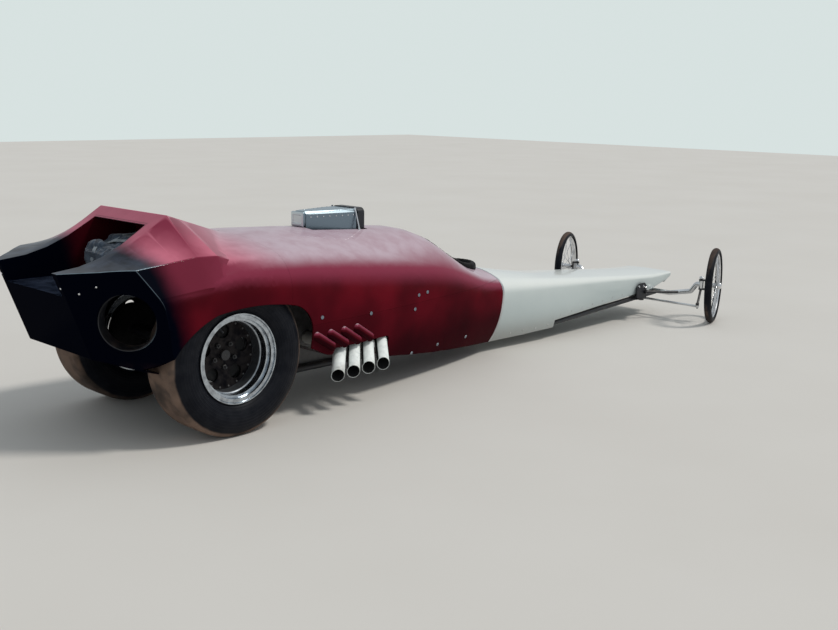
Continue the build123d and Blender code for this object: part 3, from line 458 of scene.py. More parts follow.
def wheel_finish(side, sign):
    metal = Finish(f"polished_and_cast_{side}", metallic=1.0, roughness=0.2)
    centre = middle_of(f"rear_tyre_{side}")
    reach = metal.away_from_axle(centre)
    outward = metal.times(metal.axis("Y", centre), sign)
    grime_and_shade = metal.noise(0.035, detail=6.0)
    polish_and_highlight = metal.mix(metal.spread(grime_and_shade, 0.35, 0.75), (0.52, 0.57, 0.62), (0.26, 0.28, 0.31))
    casting = metal.mix(metal.spread(grime_and_shade, 0.3, 0.7), (0.010, 0.010, 0.013), (0.045, 0.040, 0.040))
    beyond = metal.spread(outward, CASTING_DEPTH, CASTING_DEPTH + 0.015)
    barrel = metal.times(beyond, metal.spread(reach, BARREL_RADIUS, BARREL_RADIUS + 0.008))
    shine = metal.math("MAXIMUM", metal.spread(reach, LIP_RADIUS - 0.012, LIP_RADIUS), barrel)
    metal.give("Base Color", metal.mix(shine, casting, polish_and_highlight))
    metal.give("Roughness", metal.sum(metal.spread(shine, 0.0, 1.0, 0.62, 0.14), metal.times(grime_and_shade, 0.12)))
    metal.bump(grime_and_shade, 0.0002)
    return metal.material


for side, sign in SIDES:
    finishes[f"rear_rim_{side}"] = wheel_finish(side, sign)
print("rear wheels polished from radius", LIP_RADIUS)

# %% [markdown]
# Header paint stays white on the outside of the pipes and burns brown towards their mouths, and
# where the pipes leave the body it's darker, grey-brown. Both follow from the half width.

# %% Pipe finish
MOUTH_Y = 0.59                           # half width at which the burnt end begins


def pipe_white():
    paint = Finish("white_header_paint", roughness=0.46, specular=0.4)
    out = paint.math("ABSOLUTE", paint.axis("Y"))
    patch = paint.noise(0.03, detail=6.0)
    white = paint.mix(paint.spread(patch, 0.35, 0.75), (0.88, 0.92, 0.90), (0.70, 0.75, 0.74))
    # Darker grey-brown where the pipes leave the body.
    white = paint.mix(paint.times(paint.spread(out, 0.53, 0.46), 0.6), white, (0.22, 0.19, 0.16))
    burnt = paint.times(paint.spread(out, MOUTH_Y, MOUTH_Y + 0.045), paint.spread(patch, 0.3, 0.7, 0.35, 1.0))
    paint.give("Base Color", paint.mix(paint.times(burnt, 0.5), white, (0.26, 0.235, 0.19)))
    paint.bump(patch, 0.0004)
    return paint.material


finishes["exhaust_white"] = pipe_white()
print("pipes burn from half width", MOUTH_Y)

# %% [markdown]
# Tyres are black only on their sidewalls. The tread of a slick that has rolled over a dirt field is
# the colour of the field. The distance from the axle gives the border between the two.

# %% Tyre finish
TYRES = (
    # end of the car, kind, radius, depth of the soiled border, rings on the wall, dust
    ("rear", "slick", 0.392, 0.022, 420.0, 1.0),
    ("front", "ribbed", 0.285, 0.010, 900.0, 0.5),
)


def tyre_finish(name, centre, radius, border, rings, dust):
    rubber = Finish(name, roughness=0.62, specular=0.12)
    reach = rubber.away_from_axle(centre)
    patch = rubber.noise(0.05, detail=7.0)
    broad = rubber.noise(0.22, detail=3.0)
    wall = rubber.mix(rubber.spread(patch, 0.3, 0.7), (0.0025, 0.0035, 0.007), (0.008, 0.009, 0.013))
    tread = rubber.mix(rubber.spread(broad, 0.35, 0.62), (0.050, 0.038, 0.032), (0.185, 0.125, 0.095))
    tread = rubber.mix(rubber.spread(patch, 0.45, 0.75, 0.0, 0.6), tread, (0.045, 0.04, 0.038))
    ragged = rubber.sum(reach, rubber.times(patch, 0.012))
    soiled = rubber.spread(ragged, radius - border, radius - border * 0.4)
    rubber.give("Base Color", rubber.mix(rubber.times(soiled, dust), wall, tread))
    rubber.give("Roughness", rubber.sum(rubber.times(soiled, 0.28), 0.5))
    ripple = rubber.math("SINE", rubber.times(reach, rings))
    on_wall = rubber.spread(reach, radius - border, radius - border * 2)
    rubber.bump(rubber.times(rubber.spread(ripple, 0.6, 1.0), on_wall), 0.0012)
    rubber.bump(patch, 0.0006)
    return rubber.material


for end, kind, *sizes in TYRES:
    for side, sign in SIDES:
        tyre = f"{end}_tyre_{side}"
        finishes[tyre] = tyre_finish(f"{kind}_{side}", middle_of(tyre), *sizes)
print("tyres", [name for name in finishes if "tyre" in name])

# %% [markdown]
# Leather round the cockpit and canvas round the parachute are soft goods. Their folds could be faked
# with bump, but they have to show in the outline, so they're modelled later. The finish is only the
# fine grain or weave on top of them.

# %% Leather and canvas
def weave(name, light, dark, thread):
    """Cloth of two crossing sets of threads. A wave's bands lie 0.314 / scale apart."""
    cloth = Finish(name, roughness=0.86, specular=0.25)
    inputs = {"Vector": cloth.place(), "Scale": 0.314 / thread, "Distortion": 0.6}
    sets = [cloth.step("ShaderNodeTexWave", inputs, bands_direction=way).outputs[0] for way in "YZ"]
    threads = cloth.math("MAXIMUM", *sets)
    cloud = cloth.noise(0.05, detail=5.0)
    tone = cloth.sum(cloth.times(threads, 0.25), cloth.spread(cloud, 0.3, 0.7, 0.0, 0.75))
    cloth.give("Base Color", cloth.mix(tone, dark, light))
    cloth.give("Sheen Weight", 0.25)
    cloth.bump(threads, 0.0003)
    cloth.bump(cloud, 0.003)
    return cloth.material


finishes["pack_fabric"] = weave("parachute_canvas", (0.062, 0.088, 0.125), (0.004, 0.009, 0.020), 0.0016)
webbing = weave("parachute_webbing", (0.36, 0.40, 0.43), (0.14, 0.17, 0.20), 0.0011)
finishes["coaming_leather"] = dusty("black_leather", (0.009, 0.009, 0.010), 0.58, 0.002, dust=0.05,
                                    depth=0.0006, specular=0.15)
print("finishes", len(finishes))

# %% [markdown]
# Modelling by hand is a row of the same few moves: pick a piece, open it, pick faces, close it, add
# a modifier. Each is a helper here, so that the steps that follow read like the work itself.

# %% Helpers for modelling
def deselect():
    if bpy.context.mode != "OBJECT":
        bpy.ops.object.mode_set(mode="OBJECT")
    bpy.ops.object.select_all(action="DESELECT")


def only(obj):
    deselect()
    obj.select_set(True)
    bpy.context.view_layer.objects.active = obj


def edit(obj, mode="FACE"):
    only(obj)
    bpy.ops.object.mode_set(mode="EDIT")
    bpy.ops.mesh.select_mode(type=mode)


def select_faces(obj, test):
    """In edit mode, select only the faces whose middle and normal pass the test."""
    bpy.ops.mesh.select_all(action="DESELECT")
    mesh = bmesh.from_edit_mesh(obj.data)
    for face in mesh.faces:
        if test(face.calc_center_median(), face.normal):
            face.select_set(True)
    bmesh.update_edit_mesh(obj.data)


def modify(obj, kind, **settings):
    """Add a modifier, set it and apply it."""
    only(obj)
    modifier = obj.modifiers.new(kind.lower(), kind)
    for key, value in settings.items():
        setattr(modifier, key, value)
    bpy.ops.object.modifier_apply(modifier=modifier.name)


def settle(obj, name, slot, finish=None, body="root", angle=radians(35)):
    """Name a finished piece, bring its place into its mesh, and give it its finish and its body."""
    only(obj)
    bpy.ops.object.transform_apply(location=True, rotation=True, scale=True)
    bpy.ops.object.shade_smooth_by_angle(angle=angle)
    obj.name = obj.data.name = name
    obj.data.materials.clear()
    obj.data.materials.append(finish or finishes[slot])
    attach(obj, body)
    deselect()
    return obj


print("helpers for modelling are ready")

# %% [markdown]
# The frame's own meshes are loose triangles, each with its own corners, so they can't be shaded smooth.
# They are left alone. A copy of each is welded, shaded smooth up to an angle, and shown in its stead.
# The parachute and the cockpit's ring are left out here: they're soft, and get their own steps.

# %% Weld the frame's pieces
SOFT_NODES = ("parachute_pack", "cockpit_coaming")
SKIN_ANGLE = radians(32)                 # edges sharper than this stay sharp


def welded(node):
    """A welded copy of a node of the frame."""
    mesh = nodes[node].data.copy()
    copy = bpy.data.objects.new(f"{node}_skin", mesh)
    scene.collection.objects.link(copy)
    edit(copy, "VERT")
    bpy.ops.mesh.select_all(action="SELECT")
    bpy.ops.mesh.remove_doubles(threshold=0.00002)
    bpy.ops.object.mode_set(mode="OBJECT")
    if mesh.has_custom_normals:
        bpy.ops.mesh.customdata_custom_splitnormals_clear()
    return copy


def dressed(node):
    """A node's welded copy with its finish, shown in the node's stead."""
    slot = slot_of[node]
    finish = finishes.get(node) or finishes[slot]
    skin = settle(welded(node), f"{node}_skin", slot, finish, body_of[node], SKIN_ANGLE)
    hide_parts(node)
    return skin


skins = {node: dressed(node) for node in nodes if node not in SOFT_NODES}
print("welded", len(skins), "pieces,", sum(len(skin.data.polygons) for skin in skins.values()), "triangles")

# %% [markdown]
# The tail's outer edges are rolled, not sharp, and their small radius is what catches the sky.
# They're picked by their angle and place, and bevelled. The wheel arches and the pocket keep their
# cut edges. Normals weighted by face size then keep the broad faces flat beside the narrow ones.

# %% Rolled edges of the tail
ROLL_RADIUS = 0.011
TAIL_EDGE_ANGLE = radians(28)
ARCH_REACH = 0.47                        # edges nearer to the rear axle than this belong to the arch
POCKET_HALF = 0.296                      # and those nearer to the car's middle to the pocket
TAIL_FOOT = 0.40


def outer_tail_point(point):
    outside = abs(point.y) > POCKET_HALF and point.z > TAIL_FOOT and point.x < REAR_WHEEL.x - 0.02
    return outside and Vector((point.x - REAR_WHEEL.x, point.z - REAR_WHEEL.z)).length > ARCH_REACH


def rolled_tail(skin):
    """Bevel the outer edges, and mark the rolled strips, on which the paint lays a painted highlight."""
    edit(skin, "EDGE")
    bpy.ops.mesh.select_all(action="DESELECT")
    mesh = bmesh.from_edit_mesh(skin.data)
    count = 0
    for edge in mesh.edges:
        sharp = len(edge.link_faces) == 2 and edge.calc_face_angle_signed(0) >= TAIL_EDGE_ANGLE
        if sharp and all(outer_tail_point(vertex.co) for vertex in edge.verts):
            edge.select_set(True)
            count += 1
    bmesh.update_edit_mesh(skin.data)
    bpy.ops.mesh.bevel(offset=ROLL_RADIUS, segments=4, affect="EDGES", clamp_overlap=True)
    mesh = bmesh.from_edit_mesh(skin.data)
    rolled = mesh.verts.layers.float.new("rolled")
    for vertex in mesh.verts:
        vertex[rolled] = float(all(face.select for face in vertex.link_faces))
    bmesh.update_edit_mesh(skin.data)
    bpy.ops.object.mode_set(mode="OBJECT")
    bpy.ops.object.shade_smooth_by_angle(angle=SKIN_ANGLE)
    modify(skin, "WEIGHTED_NORMAL", keep_sharp=True)
    deselect()
    return count


print("rolled edges", rolled_tail(skins["tail_shell"]))

# %% [markdown]
# Inside the pipes there's soot. The inner faces could be picked by eye, one by one. Here a ray finds
# them: from an inner face, the way its normal points, the pipe's own wall is met again within the
# pipe's width. From an outer face it isn't.

# %% Soot in the pipes
PIPE_WIDTH = 0.075


def soot_inside(skin):
    mesh = skin.data
    mesh.materials.append(soot_and_shade)
    inner = 0
    for face in mesh.polygons:
        start = face.center + face.normal * 0.0005
        hit, at, normal, index = skin.ray_cast(start, face.normal, distance=PIPE_WIDTH)
        if hit and normal.dot(face.normal) < -0.6:
            face.material_index = 1
            inner += 1
    return inner


print("sooty faces", [soot_inside(skins[node]) for node in ("exhaust_left", "exhaust_right")])

# %% [markdown]
# Small parts that repeat, such as fasteners, are modelled once at the origin with their foot at z = 0.
# Each copy is laid on the surface that carries it: a ray finds the place, and the surface's own
# normal gives the direction. All the copies of one kind are then joined to one piece.

# %% Helpers for what repeats
ABOVE_ROOF = 1.3                         # a height from which a ray can look down on the car


def cast(skin, start, direction, reach=3.0):
    """Where a ray meets a skin, and the skin's normal there."""
    bpy.context.view_layer.update()
    hit, at, normal, index = skin.ray_cast(Vector(start), Vector(direction).normalized(), distance=reach)
    if not hit:
        raise ValueError(f"no surface of {skin.name} from {tuple(start)}")
    return at, normal


def cast_from_side(skin, x, sign, z):
    """Where the car's flank is met from one side."""
    return cast(skin, on_car(x, sign * 0.9, z), (0, -sign, 0))


def upright_on(at, normal, spin=0.0):
    """The placement that stands a small part on a surface."""
    turn = Vector((0, 0, 1)).rotation_difference(normal).to_matrix().to_4x4()
    return Matrix.Translation(at) @ turn @ Matrix.Rotation(spin, 4, "Z")


def copies(master, placements, name, slot, finish=None, body="root"):
    """Copy a finished master to each placement, each copy with its own mesh, and join them."""
    only(master)
    bpy.ops.object.transform_apply(location=True, rotation=True, scale=True)
    made = []
    for placement in placements:
        copy = bpy.data.objects.new(name, master.data.copy())
        copy.data.transform(placement)
        scene.collection.objects.link(copy)
        made.append(copy)
    deselect()
    for copy in made:
        copy.select_set(True)
    bpy.context.view_layer.objects.active = made[0]
    if len(made) > 1:
        bpy.ops.object.join()
    return settle(made[0], name, slot, finish, body)


def clear_away(*masters):
    deselect()
    for master in masters:
        master.select_set(True)
    bpy.ops.object.delete()


print("small parts can be laid on their surfaces")

# %% [markdown]
# Quarter-turn fasteners hold the panels along the flanks and low beside the cockpit.
# Their worn aluminium heads are the pale dots on the red. A head is a disc whose edge is bevelled
# and whose top is inset and pressed in.

# %% Panel fasteners
FASTENER_RADIUS = 0.0105
PANEL_JOINT_Z = 0.5                      # above this a fastener sits on the upper panel
FLANK_SPOTS = (
    (0.506, 0.536), (0.884, 0.503), (1.279, 0.468), (1.310, 0.546),
    (1.394, 0.552), (1.311, 0.196), (1.578, 0.200), (1.900, 0.190),
)


def dome_fastener(radius, height):
    """A round head with a rolled edge and a dish."""
    deselect()
    bpy.ops.mesh.primitive_cylinder_add(vertices=20, radius=radius, depth=height, location=(0, 0, height / 2))
    head = bpy.context.active_object
    edit(head)
    select_faces(head, lambda middle, normal: normal.z > 0.9)
    bpy.ops.mesh.bevel(offset=height * 0.55, segments=2, affect="EDGES")
    select_faces(head, lambda middle, normal: normal.z > 0.99)
    bpy.ops.mesh.inset(thickness=radius * 0.35, depth=-height * 0.18)
    bpy.ops.object.mode_set(mode="OBJECT")
    return head


head = dome_fastener(FASTENER_RADIUS, 0.0035)
placements = []
for side, sign in SIDES:
    for x, z in FLANK_SPOTS:
        panel = skins["body_upper" if z > PANEL_JOINT_Z else "body_lower"]
        placements.append(upright_on(*cast_from_side(panel, x, sign, z), spin=x * 7))
copies(head, placements, "panel_fasteners", "injector_aluminium")
clear_away(head)
print("panel fasteners", len(placements))

# %% [markdown]
# Where the red body meets the white nose, a narrow strip of bright edging covers the joint.
# It could be a new ring, but it has to lie on the nose exactly. So it's cut out of a copy of the
# nose with two bisects, lifted off the surface, and given its thickness.

# %% Edging at the joint of body and nose
STRIP_WIDTH = 0.016
STRIP_LIFT = 0.0009


def edging():
    strip = welded("nose_cowl")
    edit(strip)
    for place, direction in ((SEAM_X + 0.0005, -1), (SEAM_X + STRIP_WIDTH, 1)):
        bpy.ops.mesh.select_all(action="SELECT")
        bpy.ops.mesh.bisect(plane_co=(place, 0, 0), plane_no=(direction, 0, 0), clear_outer=True)
    bpy.ops.mesh.select_all(action="SELECT")
    bpy.ops.transform.shrink_fatten(value=STRIP_LIFT)
    modify(strip, "SOLIDIFY", thickness=0.0016, offset=-1)
    return settle(strip, "nose_edging", "aluminium_sheet")


print("edging", len(edging().data.polygons), "faces")

# %% [markdown]
# A lid of bent sheet lies on the injector box. It's the box's own top, cut out of a copy, raised and
# given the sheet's thickness, so that it fits the box all round.

# %% Injector lid
LID_SHEET = 0.0022
box_low, box_high = corners("injector_box")


def injector_lid():
    lid = welded("injector_box")
    bpy.ops.object.shade_smooth_by_angle(angle=SKIN_ANGLE)
    edit(lid)
    top = box_high.z - 0.006
    select_faces(lid, lambda middle, normal: not (middle.z > top and normal.z > 0.5))
    bpy.ops.mesh.delete(type="FACE")
    bpy.ops.mesh.select_all(action="SELECT")
    bpy.ops.transform.translate(value=(0, 0, 0.0004))
    bpy.ops.mesh.extrude_region_move(TRANSFORM_OT_translate={"value": (0, 0, LID_SHEET)})
    bpy.ops.mesh.select_all(action="SELECT")
    bpy.ops.mesh.normals_make_consistent(inside=False)
    modify(lid, "BEVEL", width=0.0006, segments=2, limit_method="ANGLE")
    return settle(lid, "injector_lid_sheet", "injector_aluminium")


lid_top = max(vertex.co.z for vertex in injector_lid().data.vertices)
print("injector lid top", round(lid_top, 4))

# %% [markdown]
# The lid is held by rivets along both edges, through its top and through the box's sides.
# They could be set one by one. Spaced evenly between the box's own corners, they follow the box.

# %% Rivets of the injector lid
RIVETS_A_SIDE = 8
LID_MARGIN = 0.03                        # from the box's ends to the first and the last rivet
EDGE_MARGIN = 0.022                      # from the box's side in to the rivets on top

rivet = dome_fastener(0.0042, 0.0022)
placements = []
for index in range(RIVETS_A_SIDE):
    share = index / (RIVETS_A_SIDE - 1)
    along = box_low.x + LID_MARGIN + share * (box_high.x - box_low.x - 2 * LID_MARGIN)
    for side, sign in SIDES:
        at, normal = cast(skins["injector_box"], (along, sign * 0.3, box_high.z - 0.05), (0, -sign, 0))
        on_top = Vector((along, sign * (abs(at.y) - EDGE_MARGIN), lid_top))
        placements.append(upright_on(on_top, Vector((0, 0, 1))))
        start = (along, sign * 0.3, box_high.z - 0.03)
        placements.append(upright_on(*cast(skins["injector_box"], start, (0, -sign, 0))))
copies(rivet, placements, "injector_rivets", "injector_aluminium", finishes["wire_chrome"])
clear_away(rivet)
print("rivets", len(placements))

# %% [markdown]
# The rear end of the box is closed by a bright pressed cap that stands on the deck. It begins as a
# cube, is bevelled all round, and its rear face is inset and pressed in, as sheet is to stiffen it.

# %% Rear cap of the injector box
CAP_DEPTH = 0.024
CAP_WIDTH = 0.108


def rear_cap():
    middle_x = box_low.x - CAP_DEPTH / 2 - 0.0004
    deck, normal = cast(skins["body_upper"], (middle_x - CAP_DEPTH / 2, 0, ABOVE_ROOF), (0, 0, -1))
    top = box_high.z - 0.002
    deselect()
    bpy.ops.mesh.primitive_cube_add(size=1, location=(middle_x, 0, (deck.z + top) / 2 + 0.001),
                                    scale=(CAP_DEPTH, CAP_WIDTH, top - deck.z))
    piece = bpy.context.active_object
    bpy.ops.object.transform_apply(location=True, rotation=True, scale=True)
    edit(piece)
    bpy.ops.mesh.select_all(action="SELECT")
    bpy.ops.mesh.bevel(offset=0.007, segments=3, affect="EDGES")
    select_faces(piece, lambda middle, normal: normal.x < -0.99)
    bpy.ops.mesh.inset(thickness=0.010)
    bpy.ops.mesh.inset(thickness=0.003, depth=-0.003)
    return settle(piece, "injector_rear_cap", "injector_aluminium")


print("rear cap", [round(v, 3) for v in rear_cap().dimensions])

# %% [markdown]
# Two thin struts run from the corners of the injector's mouth down to the deck. They're round bar,
# flattened at both ends: each end is extruded, squeezed flat and extruded again.

# %% Struts of the injector mouth
def strut(name, top, foot, radius=0.0042):
    deselect()
    run = top - foot
    bpy.ops.mesh.primitive_cylinder_add(vertices=14, radius=radius, depth=run.length)
    bar = bpy.context.active_object
    edit(bar)
    for end in (-1, 1):
        select_faces(bar, lambda middle, normal: normal.z * end > 0.9)
        bpy.ops.mesh.extrude_region_move(TRANSFORM_OT_translate={"value": (0, 0, end * 0.012)})
        bpy.ops.transform.resize(value=(1.7, 0.35, 1))
        bpy.ops.mesh.extrude_region_move(TRANSFORM_OT_translate={"value": (0, 0, end * 0.010)})
    bpy.ops.object.mode_set(mode="OBJECT")
    bar.data.transform(upright_on((top + foot) / 2, run))
    return settle(bar, name, "injector_aluminium", finishes["wire_chrome"])


mouth_low, mouth_high = corners("scoop_mouth")
strut_x = mouth_low.x - 0.012
for side, sign in SIDES:
    start = (strut_x, sign * (mouth_high.y + 0.022), ABOVE_ROOF)
    foot, normal = cast(skins["body_upper"], start, (0, 0, -1))
    top = Vector((strut_x, sign * (mouth_high.y - 0.006), box_high.z - 0.012))
    strut(f"injector_strut_{side}", top, foot + Vector((0, 0, 0.018)))
print("struts stand on the deck at", [round(v, 3) for v in foot])

# %% [markdown]
# Canvas could be sculpted, but creases are what cloth does by itself. So a soft piece's plain shape
# is remeshed, swollen by Blender's Cloth, and crumpled along its normals.

# %% Helpers for soft pieces
def cloth_swell(obj, voxel, pressure, frames, cap, tension=12.0):
    """Remesh a closed shape, swell it with Cloth and limit how far each point moves."""
    modify(obj, "REMESH", mode="VOXEL", voxel_size=voxel)
    start = [v.co.copy() for v in obj.data.vertices]
    cloth = obj.modifiers.new("cloth", "CLOTH")
    cloth.settings.use_pressure = True
    cloth.settings.uniform_pressure_force = pressure
    cloth.settings.effector_weights.gravity = 0
    cloth.settings.tension_stiffness = tension
    cloth.settings.compression_stiffness = tension * 0.4
    cloth.settings.bending_stiffness = 0.3
    cloth.settings.quality = 4
    cloth.collision_settings.use_collision = False
    for moment in range(1, frames + 1):
        scene.frame_set(moment)
    only(obj)
    bpy.ops.object.modifier_apply(modifier="cloth")
    scene.frame_set(1)
    for vertex, origin in zip(obj.data.vertices, start):
        move = vertex.co - origin
        if move.length > cap:
            vertex.co = origin + move.normalized() * cap


def crumple(obj, waves, limit_low, limit_high):
    """Push each point along its normal by folded waves, and keep it inside its room."""
    normals = [v.normal.copy() for v in obj.data.vertices]
    for vertex, normal in zip(obj.data.vertices, normals):
        push = 0.0
        for size, depth in waves:
            push += depth * (abs(noise.noise(vertex.co / size)) * 2.2 - 0.55)
        vertex.co += normal * push
        for axis in range(3):
            vertex.co[axis] = min(max(vertex.co[axis], limit_low[axis]), limit_high[axis])


def rounded(obj):
    modify(obj, "SUBSURF", levels=1, render_levels=1)


print("helpers for soft pieces are ready")

# %% [markdown]
# The braking parachute is packed by hand into its pocket: a slack bundle of grey canvas, creased and
# lumpy, bound with webbing. It starts from the frame's own solid, a little smaller, as it swells.

# %% Parachute bundle
BUNDLE_VOXEL = 0.006
BUNDLE_CAP = 0.014                       # how far a point may move in the simulation
BUNDLE_START = 0.955                     # its size before it swells
BUNDLE_FOLDS = ((0.11, 0.016), (0.05, 0.008), (0.02, 0.0035))   # size and depth of each
pack_low, pack_high = corners("parachute_pack")
pack_middle = middle_of("parachute_pack")


def parachute_bundle():
    bundle = welded("parachute_pack")
    for vertex in bundle.data.vertices:
        vertex.co = pack_middle + (vertex.co - pack_middle) * BUNDLE_START
    cloth_swell(bundle, BUNDLE_VOXEL, 4.0, 18, BUNDLE_CAP)
    room_low = pack_low + Vector((0.001, 0.001, 0.0))
    room_high = pack_high - Vector((0.001, 0.001, -0.004))
    crumple(bundle, BUNDLE_FOLDS, room_low, room_high)
    modify(bundle, "SMOOTH", factor=0.5, iterations=2)
    rounded(bundle)
    settle(bundle, "parachute_bundle", "pack_fabric", angle=pi)
    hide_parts("parachute_pack")
    return bundle


bundle = parachute_bundle()
print("bundle", len(bundle.data.polygons), "faces, from", [round(v, 3) for v in pack_low])

# %% [markdown]
# Behind the bundle lies the pouch of the small pilot parachute, which leaves first and pulls the
# large one out. It's slacker than the bundle, so it starts from a bevelled cube and crumples more.

# %% Pouch of the pilot parachute
POUCH_LENGTH = 0.098
POUCH_FOLDS = ((0.10, 0.020), (0.045, 0.009), (0.019, 0.004))


def pilot_pouch():
    front = pack_low.x + 0.006
    middle = Vector((front - POUCH_LENGTH / 2, 0, pack_low.z + 0.092))
    deselect()
    bpy.ops.mesh.primitive_cube_add(size=1, location=middle, scale=(POUCH_LENGTH * 0.9, 0.395, 0.170))
    pouch = bpy.context.active_object
    bpy.ops.object.transform_apply(location=True, rotation=True, scale=True)
    edit(pouch)
    bpy.ops.mesh.select_all(action="SELECT")
    bpy.ops.mesh.bevel(offset=0.034, segments=3, affect="EDGES")
    select_faces(pouch, lambda centre, normal: normal.z > 0.3)
    bpy.ops.transform.translate(value=(0.022, 0, 0))
    cloth_swell(pouch, BUNDLE_VOXEL, 4.0, 14, BUNDLE_CAP)
    room_low = Vector((front - POUCH_LENGTH, -0.205, pack_low.z))
    room_high = Vector((front, 0.205, pack_low.z + 0.190))
    crumple(pouch, POUCH_FOLDS, room_low, room_high)
    rounded(pouch)
    settle(pouch, "pilot_parachute_pouch", "pack_fabric", angle=pi)
    return pouch


pouch = pilot_pouch()
print("pouch", len(pouch.data.polygons), "faces")

# %% [markdown]
# Webbing holds the bundle together: two bands over it from the rear to the front and one across it.
# Each line is found by rays that come in from all round, and then smoothed, because webbing
# under tension bridges the creases.

# %% Lines for the webbing
RAY_REACH = 0.49
WEB_LIFT = 0.0022                        # how far the band's middle lies off the canvas


def on_canvas(pieces, start, direction):
    """The first canvas that a ray meets."""
    met = []
    for piece in pieces:
        hit, at, normal, index = piece.ray_cast(start, direction, distance=RAY_REACH)
        if hit:
            met.append(at)
    return min(met, key=lambda at: (at - start).length)


def smoothed(points, rounds=3):
    for _ in range(rounds):
        middles = [(a + b + c) / 3 for a, b, c in zip(points, points[1:], points[2:])]
        points = [points[0]] + [m.lerp(p, 0.35) for m, p in zip(middles, points[1:-1])] + [points[-1]]
    return points


def laid_on(pieces, centre, away, ways):
    """A smooth line just off the canvas, where rays towards a centre meet it."""
    met = [on_canvas(pieces, centre + way * away, -way) for way in ways]
    return smoothed([at + way * WEB_LIFT for at, way in zip(met, ways)])


def even_turns(first, sweep, count):
    return [radians(first + step * sweep / (count - 1)) for step in range(count)]


def over_bundle(y):
    """From the bundle's rear foot up and forward, at one place across the car."""
    centre = Vector((pack_middle.x - POUCH_LENGTH / 2, y, pack_low.z + 0.06))
    ways = [Vector((-cos(turn), 0, sin(turn))) for turn in even_turns(6, 150, 19)]
    return laid_on((bundle, pouch), centre, 0.48, ways)


def across_bundle():
    """From side to side, over the bundle's rear upper edge."""
    centre = Vector((pack_middle.x - 0.02, pack_middle.y, pack_low.z + 0.05))
    ways = [Vector((-0.45, -cos(turn), sin(turn) * 0.9)).normalized() for turn in even_turns(12, 156, 17)]
    return laid_on((bundle,), centre, 0.5, ways)


print("a band's line has", len(over_bundle(0)), "points")

# %% [markdown]
# A band is drawn as a row of edges along its line, extruded across to its width, and thickened.
# It could be a curve with a flat bevel, but such a curve twists where it bends two ways.

# %% Webbing round the bundle
WEB_WIDTH = 0.034
CROSS_WIDTH = 0.028
BAND_Y = 0.085                           # from the car's middle to each band over the bundle
WEB_THICKNESS = 0.0024


def webbing_band(name, points, across, width):
    """A flat strap through the points."""
    deselect()
    half = Vector(across).normalized() * (width / 2)
    bpy.ops.mesh.primitive_plane_add(size=width, location=(0, 0, 0))
    band = bpy.context.active_object
    edit(band, "VERT")
    bpy.ops.mesh.select_all(action="SELECT")
    bpy.ops.mesh.merge(type="CENTER")
    bpy.ops.transform.translate(value=points[0] - half)
    for before, after in zip(points, points[1:]):
        bpy.ops.mesh.extrude_vertices_move(TRANSFORM_OT_translate={"value": after - before})
    bpy.ops.mesh.select_all(action="SELECT")
    bpy.ops.mesh.extrude_edges_move(TRANSFORM_OT_translate={"value": half * 2})
    modify(band, "SOLIDIFY", thickness=WEB_THICKNESS, offset=0)
    rounded(band)
    return settle(band, name, "pack_fabric", webbing, angle=radians(60))


for side, sign in SIDES:
    webbing_band(f"parachute_webbing_{side}", over_bundle(sign * BAND_Y), (0, 1, 0), WEB_WIDTH)
webbing_band("parachute_webbing_across", across_bundle(), (0.9, 0, 0.45), CROSS_WIDTH)
print("webbing is laid over the bundle")

# %% [markdown]
# The cockpit's edge is padded with leather, stuffed and sewn on to a tube. The pad swells between its
# stitches. It's swollen with Cloth from the frame's ring, then pinched at even steps round the opening.

# %% Padded cockpit edge
PINCHES = 26
PINCH_DEPTH = 0.0022
PAD_STUFFING = 0.008                     # how far the pad is swollen at its front, before the driver's chest
PAD_BROW = 0.022                         # how much higher the pad stands at its front than at its back
OPENING_SHAPE = 0.55                     # the opening's width over its length
ring_low, ring_high = corners("cockpit_coaming")


def cockpit_pad():
    pad = welded("cockpit_coaming")
    cloth_swell(pad, 0.0035, 2.5, 12, 0.0035, tension=20.0)
    modify(pad, "SMOOTH", factor=0.5, iterations=4)
    middle = middle_of("cockpit_coaming")
    normals = [v.normal.copy() for v in pad.data.vertices]
    for vertex, normal in zip(pad.data.vertices, normals):
        from_middle = vertex.co - middle
        flat = Vector((from_middle.x * OPENING_SHAPE, from_middle.y))
        share = (flat.angle_signed(Vector((1, 0)), 0) / (2 * pi)) % 1
        gather = abs(sin(share * PINCHES * pi))
        along = (vertex.co.x - ring_low.x) / (ring_high.x - ring_low.x)
        forward = min(max(along * 2.2 - 0.9, 0.0), 1.0)
        vertex.co += normal * (PAD_STUFFING * forward - PINCH_DEPTH * (1 - gather) ** 3)
        vertex.co.z += PAD_BROW * forward * max(normal.z, 0.0)
    settle(pad, "cockpit_pad", "coaming_leather", angle=pi)
    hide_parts("cockpit_coaming")
    return pad


print("cockpit pad", len(cockpit_pad().data.polygons), "faces")

# %% [markdown]
# Each rear wheel is held by five nuts on studs, and a ring of small bolts joins its casting to its
# barrel. A nut is a six-sided cylinder: its top is inset to a chamfer and extruded to the stud's end,
# and its foot is extruded and widened to a washer.

# %% Rear wheel nuts and ring bolts
NUT_CIRCLE = 0.062
RING_CIRCLE = 0.1655


